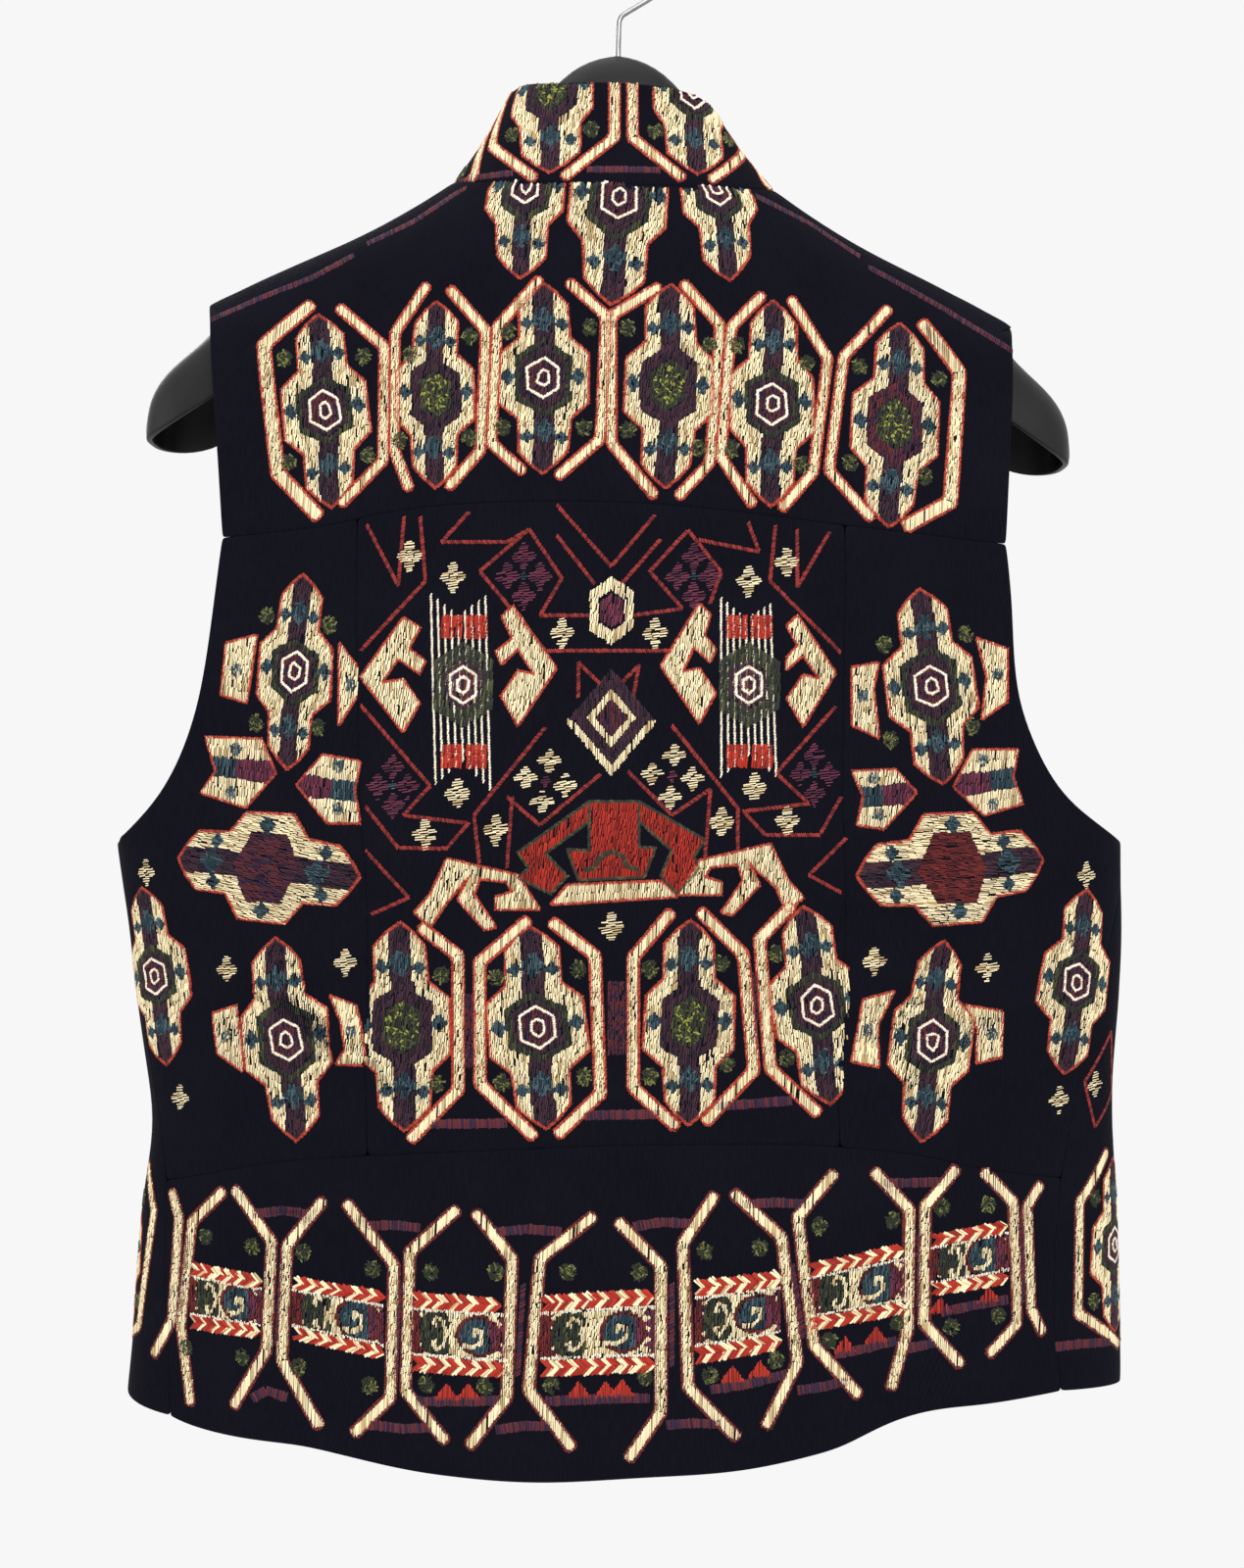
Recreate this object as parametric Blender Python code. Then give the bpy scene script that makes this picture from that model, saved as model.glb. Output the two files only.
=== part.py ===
# A short vest with a stand collar, hanging on a broad moulded hanger with a wire hook.
# Every cloth piece is a thin wall on one shared body form, butted to its neighbours at the seams.
# Lengths in the tables are millimetres; the form is turned into metres at the end.
# +Z is up, the wearer would face -Y, and left means the wearer's left, +X.
# The origin is the inner crown of the hook, where a rail would carry it.

import math

import bmesh
import bpy
import numpy as np
from mathutils import Vector

MM = 0.001

CLOTH_THICK = 2.0
COLLAR_THICK = 2.6
SEAM_GAP = 0.3
SEAT_GAP = 0.3

# The loaded hanger hangs a little out of level. The lower cloth hangs straight again.
HANG_TILT = math.radians(1.5)
TILT_FULL_ABOVE = -210.0
TILT_NONE_BELOW = -450.0
# The shoulders come forward towards their ends, as a contoured hanger holds them.
SWEEP_FORWARD = 9.0
SWEEP_AT = 222.0

# Level rings of the hung body. centre: where the garment's middle hangs. half: half width.
# back, front: how far the cloth stands from the middle plane. power: 2 is an ellipse, more is flatter.
RING_COLUMNS = ("height", "centre", "half", "back", "front", "power")
RINGS = (
    (-138.0, 0.0, 74.5, 38.0, 43.0, 2.00),
    (-150.0, 0.0, 92.0, 41.0, 46.5, 2.08),
    (-167.0, 0.0, 121.5, 43.5, 49.0, 2.18),
    (-183.5, 0.0, 158.0, 45.0, 51.0, 2.25),
    (-196.0, 0.0, 184.5, 46.0, 52.0, 2.30),
    (-203.0, 0.0, 198.5, 46.5, 53.0, 2.32),
    (-212.0, -0.4, 217.0, 47.0, 54.0, 2.35),
    (-224.0, -1.0, 234.0, 48.0, 55.0, 2.38),
    (-240.0, -1.6, 246.0, 49.0, 57.0, 2.42),
    (-265.0, -2.0, 251.0, 50.5, 59.0, 2.45),
    (-310.0, -1.5, 252.0, 53.0, 62.0, 2.50),
    (-375.0, 1.8, 248.5, 56.0, 64.0, 2.55),
    (-426.0, 3.1, 244.0, 58.0, 64.0, 2.60),
    (-452.0, 1.6, 241.2, 58.0, 63.0, 2.60),
    (-480.0, -0.9, 239.7, 57.5, 62.0, 2.60),
    (-523.0, -3.0, 237.0, 56.0, 60.0, 2.60),
    (-562.0, -4.0, 232.4, 54.5, 58.0, 2.55),
    (-593.0, -5.8, 230.4, 54.0, 57.0, 2.50),
    (-612.0, -4.4, 233.6, 55.0, 58.0, 2.50),
    (-650.0, -3.1, 236.2, 57.0, 60.0, 2.50),
    (-696.0, -2.0, 238.4, 59.0, 62.0, 2.50),
    (-719.0, -0.9, 239.7, 60.0, 63.0, 2.50),
    (-790.0, -0.4, 241.0, 62.0, 65.0, 2.50),
)
HEM_HALF = RINGS[-1][RING_COLUMNS.index("half")]

# The free edge of each armhole and the side seam below it, measured out from the garment's middle.
EDGE_COLUMNS = ("height", "back_left", "back_right", "front")
EDGES = (
    (-200.0, 192.5, 192.5, 192.5),
    (-204.0, 190.5, 190.5, 190.5),
    (-212.0, 188.5, 188.5, 187.5),
    (-224.0, 188.0, 188.0, 184.0),
    (-255.0, 185.4, 185.4, 180.0),
    (-290.0, 183.1, 183.1, 175.5),
    (-310.0, 181.8, 181.8, 174.0),
    (-332.0, 184.4, 184.4, 174.0),
    (-375.0, 190.0, 186.0, 180.0),
    (-403.0, 198.0, 194.0, 189.0),
    (-426.0, 210.0, 206.5, 203.0),
    (-438.0, 221.5, 219.0, 216.0),
    (-446.0, 231.5, 231.5, 228.0),
    (-450.0, 237.0, 237.0, 236.0),
    (-452.0, 240.6, 240.6, 240.6),
    (-475.0, 238.6, 237.0, 0.0),
    (-498.0, 234.5, 228.0, 0.0),
    (-530.0, 230.0, 217.5, 0.0),
    (-565.0, 226.5, 209.0, 0.0),
    (-609.0, 219.0, 200.5, 0.0),
    (-665.0, 217.0, 197.5, 0.0),
    (-715.0, 212.5, 204.0, 0.0),
    (-790.0, 211.0, 207.5, 0.0),
)
UNDERARM = -452.0

# The two lengthwise seams of the back, measured out from the garment's middle.
PRINCESS_COLUMNS = ("height", "left", "right")
PRINCESS = (
    (-138.0, 46.0, 45.0),
    (-170.0, 79.0, 74.0),
    (-210.0, 106.0, 96.0),
    (-316.0, 118.0, 106.0),
    (-451.0, 116.5, 103.0),
    (-590.0, 122.5, 94.0),
    (-740.0, 116.0, 101.0),
)

# Lines that run across the back. across: out from the garment's middle, + is left.
LINE_COLUMNS = ("across", "height")
YOKE_SEAM = (
    (-185.0, -310.0),
    (-95.0, -302.5),
    (-40.0, -297.0),
    (0.0, -295.0),
    (60.0, -296.5),
    (105.0, -301.5),
    (132.0, -307.5),
    (185.0, -313.0),
)
WAIST_SEAM = (
    (-205.0, -609.0),
    (-157.0, -601.0),
    (-125.0, -593.5),
    (-60.0, -588.5),
    (4.0, -589.0),
    (76.0, -592.0),
    (154.0, -597.5),
    (220.0, -611.0),
)
BACK_HEM = (
    (-240.0, -707.0),
    (-200.0, -707.5),
    (-150.0, -709.5),
    (-128.0, -714.5),
    (-98.0, -726.5),
    (-40.0, -735.5),
    (20.0, -740.5),
    (70.0, -738.0),
    (112.0, -735.0),
    (150.0, -726.0),
    (200.0, -723.5),
    (212.0, -720.0),
    (240.0, -713.0),
)
NECK_AT_SIDE = -138.0
NECK_DROP_BACK = 9.0
NECK_DROP_FRONT = 52.0
NECK_FRONT_POWER = 1.3
SHOULDER_END = -200.0
SHOULDER_SAG = 5.0
ARM_LINE = -213.0
ARM_LINE_SAG = 8.0
UNDERARM_RISE = 6.0

# Each front at the same lines: its height at the centre front, and how the hem comes to a point.
FRONT_CENTRE_HEIGHTS = (-190.0, -206.0, -302.0, -446.0, -600.0, -756.0)
FRONT_POINT_FROM_CENTRE = 53.0
FRONT_POINT_WIDTH = 32.0
FRONT_POINT_DROP = {"left": 22.0, "right": 31.0}
# At the garment's sides the hem lifts a little.
FRONT_SIDE_ANGLE = 92.0
FRONT_SIDE_WIDTH = 20.0
FRONT_SIDE_LIFT = {"left": 10.0, "right": 4.0}

# Rows of faces between neighbouring lines, and columns across each back piece and each front.
# The rows crowd together where the armhole turns under the arm.
ROWS = (8, 3, 5, 9, 6, 7)
UNDERARM_BLOCK = 3
UNDERARM_CROWDING = 1.9
# A front's rows sag where they leave the underarm, most a quarter of the way in.
UNDERARM_SAG = 9.0
BACK_COLUMNS = (8, 14, 8)
FRONT_COLUMNS = 12
COLLAR_ROWS = 5
# How evenly a front's rows leave the outer edge's height: 1 is evenly, more is later.
FRONT_ROW_POWER = 1.4

# Where a search along the back for a row's height starts, and for the angle of a lengthwise seam.
FIRST_HEIGHT = -400.0
FIRST_ANGLE = 30.0
# Slopes of the form are measured this far to each side, in degrees or millimetres.
PROBE = 0.4

# Large soft folds. side: 1 back, -1 front. across, height: where the fold is deepest, from the middle.
# lean: how far it drifts sideways for each millimetre down. wide, long: its reach. depth: + stands out.
FOLD_COLUMNS = ("side", "across", "height", "lean", "wide", "long", "depth")
FOLDS = (
    (1, 203.0, -725.0, 0.00, 13.0, 75.0, -4.0),
    (1, 165.0, -720.0, -0.05, 26.0, 95.0, 5.5),
    (1, 116.0, -725.0, 0.05, 15.0, 85.0, -5.0),
    (1, 60.0, -735.0, 0.10, 32.0, 110.0, 5.0),
    (1, 2.0, -740.0, 0.06, 20.0, 90.0, -3.5),
    (1, -52.0, -735.0, -0.08, 30.0, 110.0, 5.5),
    (1, -122.0, -715.0, 0.06, 17.0, 95.0, -6.5),
    (1, -165.0, -705.0, 0.02, 22.0, 85.0, 5.0),
    (1, -205.0, -700.0, 0.00, 12.0, 70.0, -3.0),
    (1, 150.0, -560.0, 0.55, 15.0, 62.0, -4.0),
    (1, 172.0, -520.0, 0.50, 20.0, 70.0, 4.0),
    (1, -158.0, -520.0, -0.55, 16.0, 66.0, -4.5),
    (1, -176.0, -480.0, -0.45, 20.0, 60.0, 4.0),
    (1, -120.0, -575.0, -0.30, 18.0, 45.0, 3.0),
    (1, 0.0, -545.0, 0.00, 80.0, 70.0, -3.0),
    (1, 168.0, -360.0, 0.10, 16.0, 80.0, -3.0),
    (1, -168.0, -365.0, -0.10, 16.0, 80.0, -3.0),
    (1, 120.0, -245.0, 0.20, 20.0, 50.0, -2.5),
    (1, -110.0, -240.0, -0.20, 18.0, 50.0, -2.5),
    (-1, 120.0, -300.0, 0.30, 22.0, 110.0, -5.0),
    (-1, -126.0, -310.0, -0.28, 24.0, 120.0, -4.5),
    (-1, 70.0, -560.0, 0.10, 26.0, 120.0, 5.0),
    (-1, -78.0, -600.0, -0.10, 28.0, 130.0, 5.5),
    (-1, 150.0, -680.0, 0.05, 24.0, 120.0, -6.0),
    (-1, -146.0, -690.0, -0.05, 22.0, 115.0, -6.5),
    (-1, 192.0, -640.0, 0.00, 18.0, 120.0, 4.5),
    (-1, -190.0, -650.0, 0.00, 18.0, 120.0, 4.5),
)

# The collar's top edge. angle: 0 is the centre back, + is left, 180 the centre front.
COLLAR_COLUMNS = ("angle", "out_x", "out_y", "height")
COLLAR_TOP = (
    (-180.0, -1.0, -36.0, -146.0),
    (-150.0, -22.0, -32.5, -131.0),
    (-120.0, -39.0, -20.0, -115.0),
    (-90.0, -50.5, -3.0, -109.0),
    (-60.0, -41.0, 15.0, -100.0),
    (-30.0, -21.5, 25.0, -97.0),
    (0.0, 2.0, 28.0, -96.5),
    (30.0, 25.0, 25.0, -96.5),
    (60.0, 43.5, 15.0, -95.0),
    (90.0, 51.5, -3.0, -97.5),
    (120.0, 41.0, -20.0, -109.0),
    (150.0, 24.0, -32.5, -128.0),
    (180.0, 3.0, -36.0, -146.0),
)
COLLAR_BOW = 1.6

# The moulded hanger, from its middle to one end; both arms are alike. crest: its top line.
# deep: half its depth. back_rim, front_rim: the lower edges of its hollow shell.
# Between SEAT_FROM and SEAT_TO the crest follows the shoulders of the cloth that lie on it.
HANGER_COLUMNS = ("out", "crest", "deep", "back_rim", "front_rim")
HANGER = (
    (0.0, -75.0, 17.0, -128.0, -130.0),
    (9.0, -76.2, 17.0, -128.5, -131.0),
    (18.0, -80.0, 17.0, -130.0, -133.0),
    (27.0, -87.0, 17.2, -133.0, -137.0),
    (36.0, -97.5, 17.5, -138.0, -143.0),
    (46.0, -111.0, 18.0, -146.0, -152.0),
    (60.0, -128.5, 19.0, -159.0, -166.0),
    (172.0, -193.0, 25.0, -235.0, -247.0),
    (186.0, -206.0, 25.0, -245.5, -259.5),
    (196.0, -217.5, 24.5, -251.5, -264.5),
    (205.0, -224.6, 23.5, -257.0, -266.5),
    (212.0, -231.2, 21.5, -261.0, -267.0),
    (217.0, -237.8, 18.5, -263.5, -266.8),
    (220.0, -244.5, 14.5, -265.0, -266.4),
    (221.5, -251.5, 9.5, -265.6, -266.0),
)
SEAT_FROM = 74.0
SEAT_TO = 165.0
HANGER_WALL = 2.6
HANGER_ARCH_POINTS = 12
HANGER_ARCH_POWER = 2.5
# The inner skin draws in from the arms' ends, and its arch is never shallower than this.
HANGER_END_POWER = 6
HANGER_LEAST_DEEP = 2.0

HOOK_WIRE = 1.5
HOOK_RADIUS = 26.5
# The run between the shank's bend and the round rises at this angle.
HOOK_LEAN = math.radians(32.0)
HOOK_BEND = 6.0
HOOK_TIP_ANGLE = math.radians(-12.0)
HOOK_HOLE = 1.8
HOOK_HOLE_DEPTH = 14.0
HOOK_HEAD = 3.2
HOOK_HEAD_HIGH = 3.0
HOOK_NECK_STEP = 0.05
HOOK_TURNS = 34
HOOK_BEND_STEPS = 5
# The shell falls away on both sides of its crest, so the head sits a little lower.
HOOK_HEAD_DROP = 1.2


def column(table, columns, name):
    """One named column of a table, as an array."""
    return np.array([row[columns.index(name)] for row in table])


def smooth_read(table, columns, name, at, by):
    """A column read between its rows by a curve that never overshoots them."""
    x = column(table, columns, by)
    y = column(table, columns, name)
    if x[0] > x[-1]:
        x = x[::-1]
        y = y[::-1]
    step = np.diff(x)
    slope = np.diff(y) / step
    tangent = np.zeros(len(x))
    same = slope[:-1] * slope[1:] > 0
    mean = 2 * slope[:-1] * slope[1:] / np.where(same, slope[:-1] + slope[1:], 1)
    tangent[1:-1] = np.where(same, mean, 0)
    tangent[0] = slope[0]
    tangent[-1] = slope[-1]
    at = np.clip(at, x[0], x[-1])
    i = np.clip(np.searchsorted(x, at) - 1, 0, len(x) - 2)
    t = (at - x[i]) / step[i]
    return (
        y[i] * (1 + 2 * t) * (1 - t) ** 2
        + y[i + 1] * t * t * (3 - 2 * t)
        + step[i] * tangent[i] * t * (1 - t) ** 2
        - step[i] * tangent[i + 1] * t * t * (1 - t)
    )


def ring(name, height):
    return smooth_read(RINGS, RING_COLUMNS, name, height, "height")


def line(table, across):
    return smooth_read(table, LINE_COLUMNS, "height", across, "across")


def tilt_share(height):
    """1 where the cloth follows the tilted hanger, falling to 0 where it hangs straight."""
    t = np.clip((TILT_FULL_ABOVE - height) / (TILT_FULL_ABOVE - TILT_NONE_BELOW), 0, 1)
    return 0.5 + 0.5 * np.cos(math.pi * t)


def tilted(points, share=1.0):
    """Points turned about the hook's crown by the hanger's tilt, or by a share of it."""
    x = points[..., 0] * math.cos(HANG_TILT) - points[..., 2] * math.sin(HANG_TILT)
    z = points[..., 2] * math.cos(HANG_TILT) + points[..., 0] * math.sin(HANG_TILT)
    turned = np.stack([x, points[..., 1], z], -1)
    return points + np.asarray(share)[..., None] * (turned - points)


def fold_depth(side, across, height):
    """How far the folds move the cloth out of its plain ring there."""
    total = np.zeros_like(across)
    for row in FOLDS:
        fold = dict(zip(FOLD_COLUMNS, row))
        if fold["side"] == side:
            below = height - fold["height"]
            aside = across - fold["across"] + fold["lean"] * below
            reach = (aside / fold["wide"]) ** 2 + (below / fold["long"]) ** 2
            total += fold["depth"] * np.exp(-reach)
    return total


def on_body(angle, height):
    """The middle of the cloth's thickness. angle: 0 centre back, 90 left side, 180 centre front."""
    angle = np.asarray(angle, float)
    height = np.asarray(height, float)
    sine = np.sin(np.radians(angle))
    cosine = np.cos(np.radians(angle))
    power = 2 / ring("power", height)
    across = ring("half", height) * np.sign(sine) * np.abs(sine) ** power
    deep = np.where(cosine > 0, ring("back", height), ring("front", height))
    flat = np.abs(cosine) ** power
    folds = np.where(
        cosine > 0, fold_depth(1, across, height), fold_depth(-1, across, height)
    )
    y = np.sign(cosine) * flat * (deep + folds)
    x = ring("centre", height) + across
    y = y - SWEEP_FORWARD * (x / SWEEP_AT) ** 2
    points = np.stack([x, y, np.broadcast_to(height, x.shape)], -1)
    return tilted(points, tilt_share(height))


def body_normal(angle, height):
    """Outward normals of the body form."""
    turn = on_body(angle + PROBE, height) - on_body(angle - PROBE, height)
    down = on_body(angle, height - PROBE) - on_body(angle, height + PROBE)
    normal = np.cross(down, turn)
    return normal / np.linalg.norm(normal, axis=-1, keepdims=True)


def angle_across(across, height):
    """The angle at which a level ring is that far out from its middle, on the back half."""
    share = np.clip(np.abs(across) / ring("half", height), 0, 1)
    return np.sign(across) * np.degrees(np.arcsin(share ** (ring("power", height) / 2)))


def edge_angle(side, height):
    """The shoulder seam, then the armhole's edge, then the side seam. side: 1 left, -1 right."""
    if height >= SHOULDER_END:
        return side * 90.0
    name = "back_left" if side > 0 else "back_right"
    out = smooth_read(EDGES, EDGE_COLUMNS, name, height, "height")
    return float(angle_across(side * out, height))


def front_edge_angle(side, height):
    """The same edge on a front, down to the underarm point."""
    if height >= SHOULDER_END:
        return side * 90.0
    if height <= UNDERARM:
        return edge_angle(side, height)
    out = smooth_read(EDGES, EDGE_COLUMNS, "front", height, "height")
    return side * 180.0 - float(angle_across(side * out, height))


def front_armhole_heights(side, top):
    """Heights down a front's armhole edge to the underarm, at even steps along the edge."""
    way_down = np.linspace(0, 1, 200)
    heights = UNDERARM + (top - UNDERARM) * (1 - way_down) ** 2
    edge = on_body([front_edge_angle(side, height) for height in heights], heights)
    steps = np.linalg.norm(np.diff(edge, axis=0), axis=1)
    length = np.concatenate([[0], np.cumsum(steps)])
    even = np.linspace(0, length[-1], ROWS[UNDERARM_BLOCK] + 1)
    return np.interp(even, length, heights)


def neck_height(angle):
    """The height of the neck seam round the neck."""
    cosine = np.cos(np.radians(angle))
    front = NECK_DROP_FRONT * np.abs(np.minimum(cosine, 0)) ** NECK_FRONT_POWER
    return NECK_AT_SIDE - NECK_DROP_BACK * np.maximum(cosine, 0) - front


def back_line(index, angle, across):
    """The height of one of the lines across the back."""
    bulge = np.cos(np.radians(angle))
    if index == 0:
        return neck_height(angle)
    if index == 1:
        return SHOULDER_END - SHOULDER_SAG * bulge
    if index == 2:
        return ARM_LINE - ARM_LINE_SAG * bulge
    if index == 3:
        return line(YOKE_SEAM, across)
    if index == 4:
        return UNDERARM + UNDERARM_RISE * bulge
    return line(WAIST_SEAM if index == 5 else BACK_HEM, across)


def row_places():
    """Each row as the line above it and its share of the way to the next line."""
    places = []
    for index, count in enumerate(ROWS):
        crowding = UNDERARM_CROWDING if index == UNDERARM_BLOCK else 1.0
        places += [(index, 1 - (1 - step / count) ** crowding) for step in range(count)]
    return places + [(len(ROWS) - 1, 1.0)]


def back_height(place, angle, height):
    """A row's height at an angle, found from a first guess."""
    index, share = place
    for _ in range(6):
        sine = np.sin(np.radians(angle))
        power = 2 / ring("power", height)
        across = ring("half", height) * np.sign(sine) * np.abs(sine) ** power
        above = back_line(index, angle, across)
        below = back_line(index + 1, angle, across)
        height = above + share * (below - above)
    return height


def back_edge(side, place):
    """The angle and height where a row meets the back's outer edge."""
    index, share = place
    if index == 0:
        return side * 90.0, NECK_AT_SIDE + share * (SHOULDER_END - NECK_AT_SIDE)
    height = SHOULDER_END if index == 1 else FIRST_HEIGHT
    for _ in range(12):
        angle = edge_angle(side, height)
        height = float(back_height(place, angle, np.float64(height)))
    if index == UNDERARM_BLOCK + 1 and share == 0:
        height = UNDERARM
    return edge_angle(side, height), height


def princess_angle(side, place):
    """The angle where a row meets a lengthwise seam of the back."""
    name = "left" if side > 0 else "right"
    height = FIRST_HEIGHT
    angle = side * FIRST_ANGLE
    for _ in range(12):
        height = float(back_height(place, angle, np.float64(height)))
        out = smooth_read(PRINCESS, PRINCESS_COLUMNS, name, height, "height")
        angle = float(angle_across(side * out, height))
    return angle


def back_grid():
    """Angles and heights of the whole back: rows from neck to hem, columns from left to right."""
    angles = []
    heights = []
    left_columns, centre_columns, right_columns = BACK_COLUMNS
    for place in row_places():
        left, left_height = back_edge(1, place)
        right, right_height = back_edge(-1, place)
        seam_left = princess_angle(1, place)
        seam_right = princess_angle(-1, place)
        row = np.concatenate(
            [
                np.linspace(left, seam_left, left_columns + 1)[:-1],
                np.linspace(seam_left, seam_right, centre_columns + 1)[:-1],
                np.linspace(seam_right, right, right_columns + 1),
            ]
        )
        row_height = back_height(place, row, np.full(len(row), left_height))
        row_height[0] = left_height
        row_height[-1] = right_height
        angles.append(row)
        heights.append(row_height)
    return np.array(angles), np.array(heights)


def front_grid(side, back_angles, back_heights):
    """Angles and heights of one front: columns from its outer edge to the centre front."""
    edge_column = 0 if side > 0 else -1
    angles = []
    heights = []
    across = np.linspace(0, 1, FRONT_COLUMNS + 1)
    first_row = sum(ROWS[:UNDERARM_BLOCK])
    armhole = front_armhole_heights(side, back_heights[first_row, edge_column])
    deepest = 0.25
    sag_across = across * (1 - across) ** 3 / (deepest * (1 - deepest) ** 3)
    for row, (index, share) in enumerate(row_places()):
        outer_height = back_heights[row, edge_column]
        sag = 0.0
        if index == UNDERARM_BLOCK:
            step = row - first_row
            outer_height = armhole[step]
            share = step / ROWS[UNDERARM_BLOCK]
            sag = UNDERARM_SAG * share
        elif index == UNDERARM_BLOCK + 1:
            sag = UNDERARM_SAG * (1 - share)
        outer = front_edge_angle(side, outer_height)
        if outer_height <= UNDERARM:
            outer = back_angles[row, edge_column]
        if index == 0:
            inner = side * (90.0 + 90.0 * share)
            inner_height = float(neck_height(inner))
        else:
            inner = side * 180.0
            above = FRONT_CENTRE_HEIGHTS[index - 1]
            inner_height = above + share * (FRONT_CENTRE_HEIGHTS[index] - above)
        angle = outer + (inner - outer) * across
        height = outer_height + (inner_height - outer_height) * across**FRONT_ROW_POWER
        height -= sag * sag_across
        if index == len(ROWS) - 1:
            from_centre = HEM_HALF * np.sin(np.radians(np.abs(angle)))
            from_centre = np.where(np.abs(angle) < 90, np.inf, from_centre)
            away = (from_centre - FRONT_POINT_FROM_CENTRE) / FRONT_POINT_WIDTH
            name = "left" if side > 0 else "right"
            height = height - share * FRONT_POINT_DROP[name] * np.exp(-(away**2))
            aside = (np.abs(angle) - FRONT_SIDE_ANGLE) / FRONT_SIDE_WIDTH
            lift = FRONT_SIDE_LIFT[name] * np.exp(-(aside**2))
            height = height + share * np.where(across > 0, lift, 0)
        angles.append(angle)
        heights.append(height)
    return np.array(angles), np.array(heights)


def drawn_in(points, gap, closed_start=False):
    """The grid with its four edges moved inwards along it, by half the gap between pieces."""
    result = points.copy()
    for edge, inner in ((0, 1), (-1, -2)):
        step = points[inner] - points[edge]
        length = np.linalg.norm(step, axis=-1, keepdims=True)
        result[edge] += step / np.maximum(length, 1e-9) * gap / 2
    for edge, inner in ((0, 1), (-1, -2)):
        step = result[:, inner] - result[:, edge]
        length = np.linalg.norm(step, axis=-1, keepdims=True)
        result[:, edge] += step / np.maximum(length, 1e-9) * gap / 2
    if closed_start:
        middle = points[1, points.shape[1] // 2] - points[0, 0]
        result[0] = points[0, 0] + middle / np.linalg.norm(middle) * gap
    return result


def new_object(name, mesh_or_bmesh, material):
    mesh = bpy.data.meshes.new(name)
    mesh_or_bmesh.to_mesh(mesh)
    mesh_or_bmesh.free()
    mesh.materials.append(material)
    mesh.shade_smooth()
    mesh.set_sharp_from_angle(angle=math.radians(40))
    piece = bpy.data.objects.new(name, mesh)
    bpy.context.collection.objects.link(piece)
    return piece


def wall(name, outside, inside, material):
    """A closed wall between two matching grids of points, in millimetres."""
    rows, columns = outside.shape[:2]
    solid = bmesh.new()
    skins = []
    for skin in (outside, inside):
        skins.append([[solid.verts.new(Vector(p) * MM) for p in row] for row in skin])
    for r in range(rows - 1):
        for c in range(columns - 1):
            for skin, turn in ((skins[0], 1), (skins[1], -1)):
                corners = [skin[r][c], skin[r + 1][c], skin[r + 1][c + 1], skin[r][c + 1]]
                solid.faces.new(corners[::turn])
    rim = [(r, 0) for r in range(rows)]
    rim += [(rows - 1, c) for c in range(1, columns)]
    rim += [(r, columns - 1) for r in range(rows - 2, -1, -1)]
    rim += [(0, c) for c in range(columns - 2, 0, -1)]
    for (r0, c0), (r1, c1) in zip(rim, rim[1:] + rim[:1]):
        solid.faces.new([skins[0][r1][c1], skins[0][r0][c0], skins[1][r0][c0], skins[1][r1][c1]])
    bmesh.ops.remove_doubles(solid, verts=solid.verts, dist=1e-6)
    bmesh.ops.dissolve_degenerate(solid, edges=solid.edges, dist=1e-7)
    bmesh.ops.triangulate(solid, faces=solid.faces)
    bmesh.ops.recalc_face_normals(solid, faces=solid.faces)
    return new_object(name, solid, material)


def neck_normals(angles):
    """Normals at the neck seam, half way between the body's and the collar's."""
    heights = neck_height(angles)
    body = body_normal(angles, heights)
    up = collar_top(angles) - on_body(angles, heights)
    ahead = on_body(angles + PROBE, neck_height(angles + PROBE))
    around = ahead - on_body(angles - PROBE, neck_height(angles - PROBE))
    stand = np.cross(around, up)
    stand /= np.linalg.norm(stand, axis=-1, keepdims=True)
    stand *= np.sign((stand * body).sum(-1, keepdims=True))
    both = body + stand
    half = np.linalg.norm(both, axis=-1, keepdims=True) / 2
    return both / 2 / half**2, stand


def cloth_panel(name, angles, heights, material, neck_row=None, neck_column=None, closed=False):
    """A panel's wall on the body form. Its edge at the neck takes the mitred normals."""
    middle = on_body(angles, heights)
    normals = body_normal(angles, heights)
    if neck_row is not None:
        normals[neck_row] = neck_normals(angles[neck_row])[0]
    if neck_column is not None:
        rows = slice(0, ROWS[0] + 1)
        normals[rows, neck_column] = neck_normals(angles[rows, neck_column])[0]
        normals[0] = normals[0, neck_column]
    middle = drawn_in(middle, SEAM_GAP, closed)
    outside = middle + normals * CLOTH_THICK / 2
    inside = middle - normals * CLOTH_THICK / 2
    return wall(name, outside, inside, material)


def collar_top(angles):
    parts = [
        smooth_read(COLLAR_TOP, COLLAR_COLUMNS, name, angles, "angle")
        for name in ("out_x", "out_y", "height")
    ]
    return tilted(np.stack(parts, -1))


def collar(angles, material):
    """The stand collar: a strip from the neck seam to its own top edge, bowed out a little."""
    foot = on_body(angles, neck_height(angles))
    top = collar_top(angles)
    mitre, stand = neck_normals(angles)
    rows = []
    normals = []
    for share in np.linspace(0, 1, COLLAR_ROWS + 1):
        bow = COLLAR_BOW * 4 * share * (1 - share)
        rows.append(foot + share * (top - foot) + stand * bow)
        normals.append(stand)
    rows = drawn_in(np.array(rows)[::-1], SEAM_GAP)
    normals = np.array(normals)[::-1]
    normals[-1] = mitre
    half = np.full(len(rows), COLLAR_THICK / 2)
    half[-1] = CLOTH_THICK / 2
    outside = rows + normals * half[:, None, None]
    inside = rows - normals * half[:, None, None]
    return wall("collar", outside, inside, material)


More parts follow.
